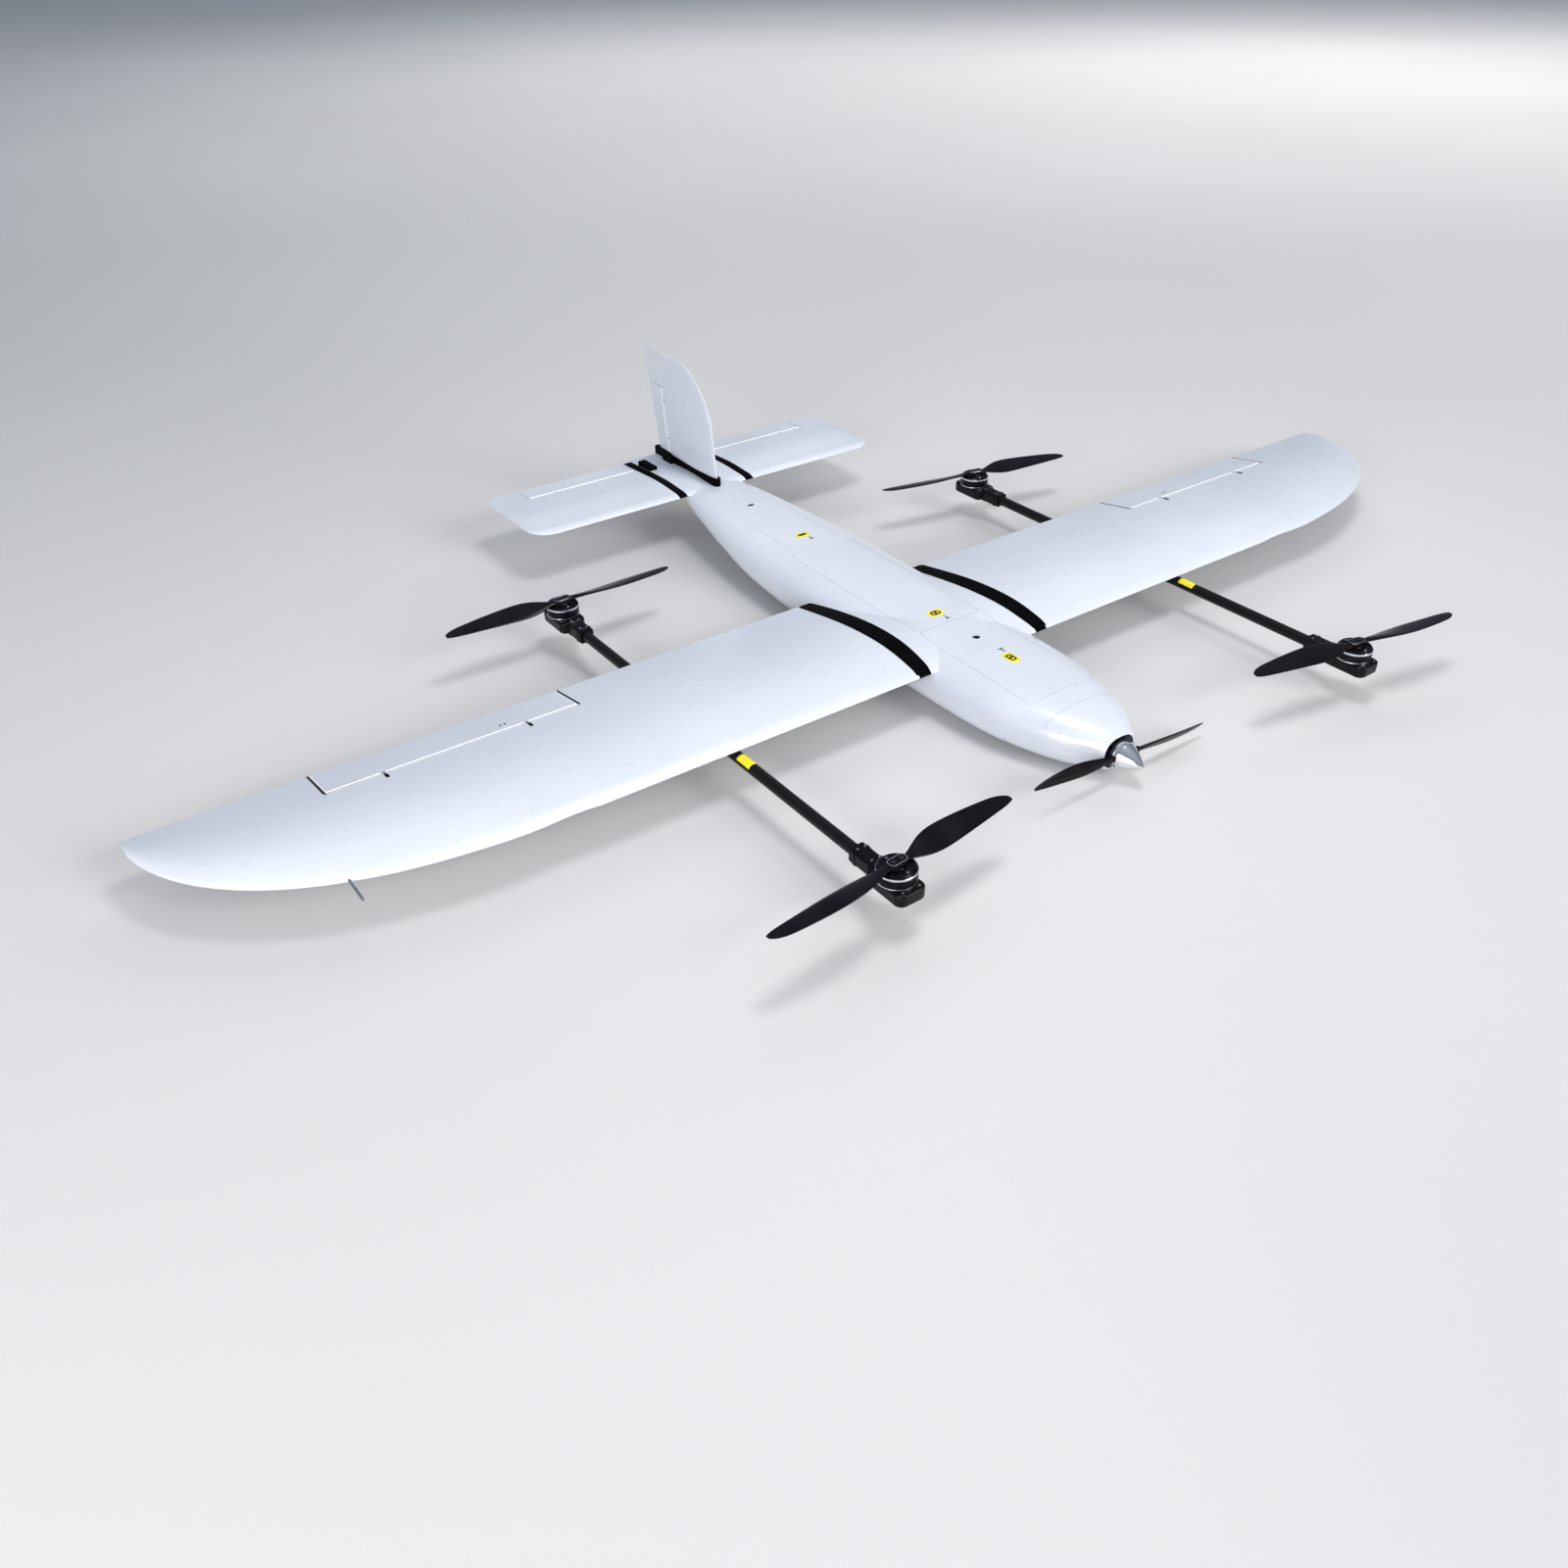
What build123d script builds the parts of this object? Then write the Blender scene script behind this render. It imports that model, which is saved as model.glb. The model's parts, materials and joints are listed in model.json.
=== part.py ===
"""Fixed wing drone with four lift rotors on two booms and a folding propeller on the nose.

Millimetres. +Z is up, +X is the aircraft's left (port) side, the nose points to -Y and the tail to +Y.
The origin is the middle of the bounding box at the level of the flat belly.
"""
import os
from math import atan2, copysign, cos, pi, sin, sqrt

from build123d import *

os.makedirs("parts", exist_ok=True)

# ---------------------------------------------------------------- driving dimensions
SIDES = {"right": -1, "left": 1}

# fuselage: key stations from nose to tail as (y, half width, underside, top)
WALL = 2.2
SECTION_STEP = 38
SQUARENESS = 2.6
OVAL_POINTS = 24
WIDEST_SHARE = 0.47
STATIONS = [
    (-545, 29, 8, 57),
    (-520, 47, 3, 65),
    (-488, 65, -1, 71),
    (-438, 84, -3, 76),
    (-388, 96, -3, 78),
    (-318, 101, -3, 79),
    (-238, 102, -3, 80),
    (-38, 102, -3, 84),
    (62, 102, 0, 85),
    (162, 98, 9, 85.5),
    (262, 86, 27, 86),
    (362, 70, 48, 86.5),
    (442, 52, 62, 87),
    (522, 34, 72, 87.5),
    (598, 16, 79, 88),
]
CABIN_END = 500

# wing
CHORD = 282.5
WING_TE = -4.5
WING_LE = WING_TE - CHORD
WING_BOTTOM = 54
ROOT_RIB = (100, 121)
STRAIGHT_END = 620
TIP_REACH = 490
TIP_POWER = 2.6
TIP_X = 1107
TIP_STATIONS = [620, 700, 780, 850, 910, 960, 1000, 1040, 1070, 1090, 1102, TIP_X]
SPAR_X = 560
SPAR_Y = -190
SPAR_Z = 68
SPAR_R = 8
REAR_SPAR_X = 320
REAR_SPAR_Y = -100
REAR_SPAR_Z = 63
REAR_SPAR_R = 4

# aileron and its linkage
AILERON_X = (536, 881)
AILERON_HINGE = (-76, 61.6)
AILERON_NOSE_R = 7.3
COVE_GAP = 0.5
CUT_GAP = 1.6
WEDGE_SETBACK = 4
AILERON_HINGES_X = (611, 807)
LINK_X = 640
LINK_ARM = 22
SERVO_Y = -150
SERVO_SIZE = (26, 24, 12)

# tail
TAIL_Z = 82
TAIL_LE = 404
TAIL_TE = 600
TAIL_THICK = 14
TAIL_X = (77, 353)
TAIL_RIB = (61, 77)
TAIL_LE_CORNER = 40
TAIL_TE_CORNER = 25
ELEVATOR_X = (80, 290)
ELEVATOR_HINGE = (551, TAIL_Z)
ELEVATOR_NOSE_R = 3.6
ELEVATOR_HINGES_X = (130, 240)
TORQUE_TUBE_R = 2
DECK_TE = 608

FIN_LEVELS = [
    (100, 402.2, 590.8),
    (138, 407, 599),
    (193, 415, 611),
    (226, 430.5, 618.3),
    (250, 452, 623.5),
    (267.6, 476, 627.4),
    (272, 485, 628),
    (277, 498, 605),
]
FIN_THICK = 12
FIN_BASE_Z = (86, 100)
RUDDER_HINGE_LOW = (552, 105.5)
RUDDER_HINGE_HIGH = (569, 217.8)
RUDDER_BOTTOM = 101.2
RUDDER_NOSE_R = 3.0

# hinges of the control surfaces
PIN_R = 1.0
PIN_LENGTH = 14
PIN_CLEARANCE = 0.05
LUG_THICK = 2.4
LUG_GAP = 0.6
SLOT_REACH = 15

# booms and lift units
BOOM_X = 418
BOOM_Z = 47
BOOM_R = 8
BOOM_BORE_R = 6.5
LIFT_Y = {"front": -596, "rear": 194}
LIFT_DIRECTION = {"front": 1, "rear": -1}
LIFT_OVERHANG = 32
NACELLE_BACK = 35
NACELLE_WIDTH = 42
NACELLE_Z = (37, 55)
NECK_END = 72
NECK_WIDTH = 23
NECK_HEIGHT = 21
BELL_R = 24
BELL_Z = (58, 73)
BELL_WALL = 2
HUB_TOP = 80
PROP_R = 188
PROP_Z = 76.5
REST_TURN = {"front_right": 6.0, "front_left": -9.1, "rear_right": -0.1, "rear_left": -10.2}
CLOCKWISE = {"front_right": 1, "front_left": -1, "rear_right": -1, "rear_left": 1}

# nose motor and folding propeller
NOSE_Z = 30
NOSE_PROP_Y = -552
SPINNER_R = 19
SPINNER_TIP = -589
SPINNER_BACK = -557
YOKE_BACK = -545.8
BLADE_ROOT_X = 15
NOSE_PROP_R = 160
NOSE_TURN = 4.8
NOSE_MOTOR_R = 17.5

# hatches: (half width, front edge, rear edge)
HATCHES = {"front": (58, -438, -211), "mid": (58, -210, 102), "rear": (45, 117, 263)}
HATCH_GAP = 0.5
HATCH_FLOOR = 60
FINGER_HOLE = (-267, 6)
VENT_HOLE = (299, 13, 8)

# equipment
TRAY = (44, -410, -50)
RUNNER_X = 32
RUNNER_Z = (WALL, 10)
TRAY_THICK = 3

made = {}


def finish(name, part):
    """Label a finished piece, keep it by name and write it."""
    part.label = name
    made[name] = part
    export_step(part, f"parts/{name}.step")


def box_part(x, y, z):
    """Box between two limits along each axis."""
    with BuildPart() as block:
        with BuildSketch(Plane.XY.offset(z[0])):
            with Locations(((x[0] + x[1]) / 2, (y[0] + y[1]) / 2)):
                Rectangle(x[1] - x[0], y[1] - y[0])
        extrude(amount=z[1] - z[0])
    return block.part


def rod_x(x, y, z, radius):
    """Round bar along X between two x values."""
    with BuildPart() as rod:
        with BuildSketch(Plane.YZ.offset(x[0])):
            with Locations((y, z)):
                Circle(radius)
        extrude(amount=x[1] - x[0])
    return rod.part


def rod_y(x, y, z, radius):
    """Round bar along Y between two y values."""
    with BuildPart() as rod:
        with BuildSketch(Plane.XZ.offset(-y[0])):
            with Locations((x, z)):
                Circle(radius)
        extrude(amount=y[0] - y[1])
    return rod.part


# ---------------------------------------------------------------- fuselage
def eased(y, column):
    """Width or height at a station between the key ones, on a curve that never overshoots them."""
    ys = [station[0] for station in STATIONS]
    values = [station[column] for station in STATIONS]
    steps = [(values[i + 1] - values[i]) / (ys[i + 1] - ys[i]) for i in range(len(ys) - 1)]
    slopes = [steps[0]]
    for before, after in zip(steps, steps[1:]):
        slopes.append(2 * before * after / (before + after) if before * after > 0 else 0)
    slopes.append(steps[-1])
    i = max(k for k in range(len(steps)) if ys[k] <= y)
    span = ys[i + 1] - ys[i]
    t = (y - ys[i]) / span
    rise = values[i + 1] - values[i]
    curve = slopes[i] * span * t * (1 - t) ** 2 - slopes[i + 1] * span * t * t * (1 - t)
    return values[i] + rise * t * t * (3 - 2 * t) + curve


def fuselage_loft(inset, last_y):
    """Smooth body through evenly spaced superellipse sections, all pulled in by the inset."""
    first_y = STATIONS[0][0]
    count = round((last_y - first_y) / SECTION_STEP)
    with BuildPart() as body:
        for step in range(count + 1):
            y = first_y + (last_y - first_y) * step / count
            half_width, low, high = (eased(y, column) for column in (1, 2, 3))
            middle = low + WIDEST_SHARE * (high - low)
            ring = []
            for i in range(OVAL_POINTS):
                turn = 2 * pi * i / OVAL_POINTS
                across = copysign(abs(cos(turn)) ** (2 / SQUARENESS), cos(turn))
                rise = copysign(abs(sin(turn)) ** (2 / SQUARENESS), sin(turn))
                reach = (high - middle if rise > 0 else middle - low) - inset
                ring.append(((half_width - inset) * across, middle + reach * rise))
            with BuildSketch(Plane.XZ.offset(-y)):
                with BuildLine():
                    Spline(*ring, periodic=True)
                make_face()
        loft()
        split(bisect_by=Plane.XY.offset(max(0, inset)), keep=Keep.TOP)
    return body.part


def wing_outline(le, te, bottom):
    """Flat-bottomed aerofoil in a plane square to X: a curve over the top and nose, then the flat."""
    chord = te - le
    shape = [
        (1.0, 0.006), (0.8, 0.043), (0.6, 0.074), (0.38, 0.092), (0.2, 0.086),
        (0.08, 0.066), (0.02, 0.048), (0.0, 0.033), (0.02, 0.015), (0.09, 0.003), (0.25, 0.0),
    ]
    over = [(le + u * chord, bottom + v * chord) for u, v in shape]
    Spline(*over)
    Polyline(over[-1], (te, bottom), over[0])


def tail_outline(le, te, thick):
    """Symmetric aerofoil about the tail plane, in a plane square to X."""
    chord = te - le
    half = thick / 2
    shape = [(1.0, 0.1), (0.8, 0.42), (0.55, 0.85), (0.3, 1.0), (0.1, 0.72), (0.02, 0.36)]
    upper = [(le + u * chord, TAIL_Z + v * half) for u, v in shape]
    lower = [(y, 2 * TAIL_Z - z) for y, z in reversed(upper)]
    Spline(*upper, (le, TAIL_Z), *lower)
    Line(lower[-1], upper[0])


outer = fuselage_loft(0, STATIONS[-1][0])
cabin = fuselage_loft(WALL, CABIN_END)

with BuildPart() as wing_stub:
    with BuildSketch(Plane.YZ.offset(-ROOT_RIB[0])):
        with BuildLine():
            wing_outline(WING_LE, WING_TE, WING_BOTTOM)
        make_face()
    extrude(amount=2 * ROOT_RIB[0])

with BuildPart() as tail_deck:
    with BuildSketch(Plane.YZ.offset(-TAIL_RIB[0])):
        with BuildLine():
            tail_outline(TAIL_LE, DECK_TE, TAIL_THICK)
        make_face()
    extrude(amount=2 * TAIL_RIB[0])

main_spar = rod_x((-SPAR_X, SPAR_X), SPAR_Y, SPAR_Z, SPAR_R)
rear_spar = rod_x((-REAR_SPAR_X, REAR_SPAR_X), REAR_SPAR_Y, REAR_SPAR_Z, REAR_SPAR_R)
tube_hole = rod_x((-ELEVATOR_X[0], ELEVATOR_X[0]), *ELEVATOR_HINGE, TORQUE_TUBE_R + COVE_GAP)


def hatch_zone(name, gap):
    """Prism over a hatch, grown by the gap, with rounded corners in plan."""
    half, front, back = HATCHES[name]
    with BuildPart() as zone:
        with BuildSketch(Plane.XY.offset(HATCH_FLOOR)):
            with Locations((0, (front + back) / 2)):
                RectangleRounded(2 * (half + gap), back - front + 2 * gap, 8 + gap)
        extrude(amount=60)
    return zone.part


with BuildPart() as skin:
    add(outer)
    add(wing_stub.part)
    add(tail_deck.part)
    add(cabin, mode=Mode.SUBTRACT)

with BuildPart() as fuselage_shell:
    add(skin.part)
    for hatch in HATCHES:
        add(hatch_zone(hatch, HATCH_GAP), mode=Mode.SUBTRACT)
    for hole in (main_spar, rear_spar, tube_hole):
        add(hole, mode=Mode.SUBTRACT)
    with BuildSketch(Plane.XY.offset(HATCH_FLOOR)):
        with Locations((0, VENT_HOLE[0])):
            SlotOverall(VENT_HOLE[1], VENT_HOLE[2])
    extrude(amount=60, mode=Mode.SUBTRACT)
finish("fuselage_shell", fuselage_shell.part)

for hatch in HATCHES:
    with BuildPart() as cover:
        add(skin.part)
        add(hatch_zone(hatch, 0), mode=Mode.INTERSECT)
        for hole in (main_spar, rear_spar):
            add(hole, mode=Mode.SUBTRACT)
        if hatch == "front":
            with BuildSketch(Plane.XY.offset(HATCH_FLOOR)):
                with Locations((0, FINGER_HOLE[0])):
                    Circle(FINGER_HOLE[1])
            extrude(amount=60, mode=Mode.SUBTRACT)
    finish(f"{hatch}_hatch", cover.part)

# ---------------------------------------------------------------- equipment inside
with BuildPart() as equipment_tray:
    half, front, back = TRAY
    for x in (-RUNNER_X, RUNNER_X):
        add(box_part((x - 2, x + 2), (front, back), RUNNER_Z))
    add(box_part((-half, half), (front, back), (RUNNER_Z[1], RUNNER_Z[1] + TRAY_THICK)))
finish("equipment_tray", equipment_tray.part)
TRAY_TOP = RUNNER_Z[1] + TRAY_THICK

with BuildPart() as battery_pack:
    add(box_part((-38, 38), (-400, -240), (TRAY_TOP, TRAY_TOP + 36)))
    fillet(battery_pack.edges().filter_by(Axis.Y), 4)
finish("battery_pack", battery_pack.part)

with BuildPart() as flight_controller:
    add(box_part((-24, 24), (-190, -115), (TRAY_TOP, TRAY_TOP + 18)))
    fillet(flight_controller.edges().filter_by(Axis.Z), 5)
    chamfer(flight_controller.faces().sort_by(Axis.Z)[-1].edges(), 1.5)
finish("flight_controller", flight_controller.part)

with BuildPart() as gps_receiver:
    with BuildSketch(Plane.XY.offset(TRAY_TOP)):
        with Locations((0, -80)):
            Circle(22)
    extrude(amount=12)
    fillet(gps_receiver.faces().sort_by(Axis.Z)[-1].edges(), 3)
finish("gps_receiver", gps_receiver.part)

# ---------------------------------------------------------------- wing
def tip_chord(x):
    """Chord of the rounded wing tip: full at the end of the straight part, short at the tip."""
    u = (x - STRAIGHT_END) / TIP_REACH
    return CHORD * sqrt(1 - u ** TIP_POWER)


def hinge_zone(x, hinge, nose_r, start, end):
    """Round nose about a hinge line along X, joined to everything from start to end behind it."""
    with BuildPart() as zone:
        with BuildSketch(Plane.YZ.offset(x[0])):
            with Locations(hinge):
                Circle(nose_r)
            with Locations(((start + end) / 2, hinge[1])):
                Rectangle(end - start, 60)
        extrude(amount=x[1] - x[0])
    return zone.part


def lugs_along_x(places, hinge, reach, half_height):
    """Hinge lugs: thin plates square to X that carry the pins of a control surface."""
    with BuildPart() as lugs:
        for x in places:
            with BuildSketch(Plane.YZ.offset(x - LUG_THICK / 2)):
                with Locations((hinge[0] - reach / 2, hinge[1])):
                    Rectangle(reach, 2 * half_height)
                with Locations(hinge):
                    Circle(half_height)
            extrude(amount=LUG_THICK)
    return lugs.part


def pins_along_x(places, hinge, radius, length):
    """Hinge pins on one line along X."""
    with BuildPart() as pins:
        for x in places:
            add(rod_x((x - length / 2, x + length / 2), *hinge, radius))
    return pins.part


def slots_along_x(places, hinge, size):
    """Slots that let the lugs into a control surface's nose."""
    with BuildPart() as slots:
        for x in places:
            half = LUG_THICK / 2 + LUG_GAP
            depth = (hinge[0] - size, hinge[0] + size)
            add(box_part((x - half, x + half), depth, (hinge[1] - SLOT_REACH, hinge[1] + SLOT_REACH)))
    return slots.part


with BuildPart() as panel:
    with BuildSketch(Plane.YZ.offset(ROOT_RIB[1])):
        with BuildLine():
            wing_outline(WING_LE, WING_TE, WING_BOTTOM)
        make_face()
    extrude(amount=STRAIGHT_END - ROOT_RIB[1])
with BuildPart() as tip:
    for x in TIP_STATIONS:
        with BuildSketch(Plane.YZ.offset(x)):
            with BuildLine():
                wing_outline(WING_TE - tip_chord(x), WING_TE, WING_BOTTOM)
            make_face()
    loft()

aileron_lugs = lugs_along_x(AILERON_HINGES_X, AILERON_HINGE, 14, 4.5)
aileron_pins = pins_along_x(AILERON_HINGES_X, AILERON_HINGE, PIN_R, PIN_LENGTH)
boom_solid = rod_y(BOOM_X, (LIFT_Y["front"] + 30, LIFT_Y["rear"] - 30), BOOM_Z, BOOM_R)
servo_low = AILERON_HINGE[1] - SERVO_SIZE[2] / 2
servo_high = servo_low + SERVO_SIZE[2]
SERVO_X = LINK_X - 6

with BuildPart() as wing_left:
    add(panel.part)
    add(tip.part)
    cove_x = (AILERON_X[0] - CUT_GAP, AILERON_X[1] + CUT_GAP)
    nose = AILERON_NOSE_R + COVE_GAP
    add(hinge_zone(cove_x, AILERON_HINGE, nose, AILERON_HINGE[0], 20), mode=Mode.SUBTRACT)
    pocket_x = (SERVO_X - SERVO_SIZE[0], LINK_X + 7)
    servo_pocket = box_part(pocket_x, (SERVO_Y - 16, SERVO_Y + 16), (30, servo_high))
    for cut in (aileron_lugs, main_spar, rear_spar, boom_solid, servo_pocket):
        add(cut, mode=Mode.SUBTRACT)

with BuildPart() as aileron_left:
    add(panel.part)
    add(tip.part)
    body_start = AILERON_HINGE[0] + WEDGE_SETBACK
    add(hinge_zone(AILERON_X, AILERON_HINGE, AILERON_NOSE_R, body_start, 20), mode=Mode.INTERSECT)
    add(slots_along_x(AILERON_HINGES_X, AILERON_HINGE, 8), mode=Mode.SUBTRACT)
    bore = pins_along_x(AILERON_HINGES_X, AILERON_HINGE, PIN_R + PIN_CLEARANCE, PIN_LENGTH + 1)
    add(bore, mode=Mode.SUBTRACT)

with BuildPart() as rib_left:
    with BuildSketch(Plane.YZ.offset(ROOT_RIB[0])):
        with BuildLine():
            wing_outline(WING_LE, WING_TE, WING_BOTTOM)
        make_face()
    extrude(amount=ROOT_RIB[1] - ROOT_RIB[0])
    add(main_spar, mode=Mode.SUBTRACT)
    add(rear_spar, mode=Mode.SUBTRACT)

# linkage under the wing: servo, arm, pushrod and horn make a parallelogram
ARM_LOW = AILERON_HINGE[1] - LINK_ARM
with BuildPart() as servo:
    servo_x = (SERVO_X - SERVO_SIZE[0], SERVO_X)
    servo_y = (SERVO_Y - SERVO_SIZE[1] / 2, SERVO_Y + SERVO_SIZE[1] / 2)
    add(box_part(servo_x, servo_y, (servo_low, servo_high)))
    add(rod_x((SERVO_X, LINK_X - 4), SERVO_Y, AILERON_HINGE[1], 5))
with BuildPart() as arm_left:
    with BuildSketch(Plane.YZ.offset(LINK_X - 3.7)):
        with Locations((SERVO_Y, AILERON_HINGE[1] - LINK_ARM / 2)):
            SlotCenterToCenter(LINK_ARM, 7, rotation=90)
    extrude(amount=3)
    add(rod_x((LINK_X - 0.7, LINK_X + 4), SERVO_Y, ARM_LOW, 1.2))
with BuildPart() as pushrod_left:
    for y, hole in ((SERVO_Y, 1.25), (AILERON_HINGE[0], 1.5)):
        with BuildSketch(Plane.YZ.offset(LINK_X + 0.3)):
            with Locations((y, ARM_LOW)):
                Circle(3.5)
                Circle(hole, mode=Mode.SUBTRACT)
        extrude(amount=3)
    add(rod_y(LINK_X + 1.8, (SERVO_Y + 2.5, AILERON_HINGE[0] - 2.5), ARM_LOW, 1.2))
with BuildPart() as horn_left:
    hinge_y = AILERON_HINGE[0]
    with BuildSketch(Plane.YZ.offset(LINK_X - 3.5)):
        with BuildLine():
            Polyline(
                (hinge_y + 9, WING_BOTTOM), (hinge_y + 28, WING_BOTTOM), (hinge_y + 4, ARM_LOW - 3.5),
                (hinge_y - 3.5, ARM_LOW - 3.5), (hinge_y - 3.5, ARM_LOW + 3.5), close=True,
            )
        make_face()
    extrude(amount=3)
    add(rod_x((LINK_X - 0.5, LINK_X + 4), hinge_y, ARM_LOW, 1.0))
    plate_y = (hinge_y + 10, hinge_y + 30)
    add(box_part((LINK_X - 8, LINK_X + 4), plate_y, (WING_BOTTOM - 1.5, WING_BOTTOM)))

with BuildPart() as saddle:
    add(box_part((BOOM_X - 16, BOOM_X + 16), (WING_LE + 50, WING_TE - 80), (BOOM_Z - 11, WING_BOTTOM)))
    fillet(saddle.edges().filter_by(Axis.Y).group_by(Axis.Z)[0], 7)
    add(boom_solid, mode=Mode.SUBTRACT)
with BuildPart() as boom_left:
    add(boom_solid)
    bore_y = (LIFT_Y["front"] + 30, LIFT_Y["rear"] - 30)
    add(rod_y(BOOM_X, bore_y, BOOM_Z, BOOM_BORE_R), mode=Mode.SUBTRACT)

paired = {
    "wing": wing_left,
    "aileron": aileron_left,
    "root_rib": rib_left,
    "servo_arm": arm_left,
    "pushrod": pushrod_left,
    "control_horn": horn_left,
    "boom": boom_left,
}
for name, built in paired.items():
    finish(f"{name}_left", built.part)
    with BuildPart() as twin:
        mirror(built.part, about=Plane.YZ)
    finish(f"{name}_right", twin.part)

for name, built in {"aileron_servos": servo, "boom_saddles": saddle}.items():
    with BuildPart() as both:
        add(built.part)
        mirror(built.part, about=Plane.YZ)
    finish(name, both.part)

with BuildPart() as main_spar_tube:
    add(main_spar)
    add(rod_x((-SPAR_X, SPAR_X), SPAR_Y, SPAR_Z, SPAR_R - 1.5), mode=Mode.SUBTRACT)
finish("main_spar_tube", main_spar_tube.part)
with BuildPart() as rear_spar_tube:
    add(rear_spar)
    add(rod_x((-REAR_SPAR_X, REAR_SPAR_X), REAR_SPAR_Y, REAR_SPAR_Z, REAR_SPAR_R - 1), mode=Mode.SUBTRACT)
finish("rear_spar_tube", rear_spar_tube.part)

PITOT_X = -917
pitot_le = WING_TE - tip_chord(-PITOT_X)
with BuildPart() as pitot_tube:
    add(rod_y(PITOT_X, (pitot_le - 40, pitot_le + 3), WING_BOTTOM + 8, 2))
    add(rod_y(PITOT_X, (pitot_le - 41, pitot_le - 20), WING_BOTTOM + 8, 1), mode=Mode.SUBTRACT)
    add(made["wing_right"], mode=Mode.SUBTRACT)
finish("pitot_tube", pitot_tube.part)

# ---------------------------------------------------------------- tail
with BuildPart() as stabiliser:
    with BuildSketch(Plane.YZ.offset(TAIL_X[0])):
        with BuildLine():
            tail_outline(TAIL_LE, TAIL_TE, TAIL_THICK)
        make_face()
    straight_end = TAIL_X[1] - TAIL_LE_CORNER
    extrude(amount=straight_end - TAIL_X[0])
with BuildPart() as stabiliser_tip:
    for step in (0, 0.3, 0.55, 0.75, 0.88, 0.96, 0.995):
        x = straight_end + step * TAIL_LE_CORNER
        front = TAIL_LE + TAIL_LE_CORNER * (1 - sqrt(1 - step ** 2))
        into_corner = max(0, x - (TAIL_X[1] - TAIL_TE_CORNER)) / TAIL_TE_CORNER
        back = TAIL_TE - TAIL_TE_CORNER * (1 - sqrt(1 - into_corner ** 2))
        thick = TAIL_THICK * (1 - 0.65 * step ** 3)
        with BuildSketch(Plane.YZ.offset(x)):
            with BuildLine():
                tail_outline(front, back, thick)
            make_face()
    loft()

elevator_lugs = lugs_along_x(ELEVATOR_HINGES_X, ELEVATOR_HINGE, 10, 2.4)
elevator_pins = pins_along_x(ELEVATOR_HINGES_X, ELEVATOR_HINGE, PIN_R, PIN_LENGTH)
with BuildPart() as stabiliser_left:
    add(stabiliser.part)
    add(stabiliser_tip.part)
    cove_x = (ELEVATOR_X[0] - CUT_GAP, ELEVATOR_X[1] + CUT_GAP)
    nose = ELEVATOR_NOSE_R + COVE_GAP
    add(hinge_zone(cove_x, ELEVATOR_HINGE, nose, ELEVATOR_HINGE[0], 640), mode=Mode.SUBTRACT)
    add(elevator_lugs, mode=Mode.SUBTRACT)
    add(tube_hole, mode=Mode.SUBTRACT)
with BuildPart() as elevator_left:
    add(stabiliser.part)
    add(stabiliser_tip.part)
    body_start = ELEVATOR_HINGE[0] + 2.5
    add(hinge_zone(ELEVATOR_X, ELEVATOR_HINGE, ELEVATOR_NOSE_R, body_start, 640), mode=Mode.INTERSECT)
    add(slots_along_x(ELEVATOR_HINGES_X, ELEVATOR_HINGE, 5), mode=Mode.SUBTRACT)
    bore = pins_along_x(ELEVATOR_HINGES_X, ELEVATOR_HINGE, PIN_R + PIN_CLEARANCE, PIN_LENGTH + 1)
    add(bore, mode=Mode.SUBTRACT)
for name, built in {"stabiliser": stabiliser_left, "elevator": elevator_left}.items():
    finish(f"{name}_left", built.part)
    with BuildPart() as twin:
        mirror(built.part, about=Plane.YZ)
    finish(f"{name}_right", twin.part)
with BuildPart() as elevator_torque_tube:
    add(rod_x((-ELEVATOR_X[0], ELEVATOR_X[0]), *ELEVATOR_HINGE, TORQUE_TUBE_R))
finish("elevator_torque_tube", elevator_torque_tube.part)

with BuildPart() as fin_body:
    for z, le, te in FIN_LEVELS:
        chord = te - le
        height_share = (z - FIN_LEVELS[0][0]) / (FIN_LEVELS[-1][0] - FIN_LEVELS[0][0])
        half = FIN_THICK / 2 * (1 - 0.55 * height_share ** 2)
        shape = [(1.0, 0.12), (0.75, 0.5), (0.5, 0.9), (0.28, 1.0), (0.1, 0.75), (0.02, 0.36)]
        right_side = [(half * v, le + u * chord) for u, v in shape]
        left_side = [(-x, y) for x, y in reversed(right_side)]
        with BuildSketch(Plane.XY.offset(z)):
            with BuildLine():
                Spline(*right_side, (0, le), *left_side)
                Line(left_side[-1], right_side[0])
            make_face()
    loft(ruled=True)

lean = atan2(RUDDER_HINGE_HIGH[0] - RUDDER_HINGE_LOW[0], RUDDER_HINGE_HIGH[1] - RUDDER_HINGE_LOW[1])
rudder_length = (RUDDER_HINGE_HIGH[1] - RUDDER_HINGE_LOW[1]) / cos(lean)
hinge_plane = Plane(
    origin=(0, RUDDER_HINGE_LOW[0], RUDDER_HINGE_LOW[1]),
    x_dir=(1, 0, 0),
    z_dir=(0, sin(lean), cos(lean)),
)


def rudder_zone(nose_r, start, bottom, top):
    """Round nose about the leaning hinge line and everything behind it, between two levels."""
    with BuildPart() as zone:
        with BuildSketch(hinge_plane.offset(-20)):
            Circle(nose_r)
            with Locations((0, start + 50)):
                Rectangle(60, 100)
        extrude(amount=rudder_length + 40)
        split(bisect_by=Plane.XY.offset(bottom), keep=Keep.TOP)
        split(bisect_by=Plane.XY.offset(top), keep=Keep.BOTTOM)
    return zone.part


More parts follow.
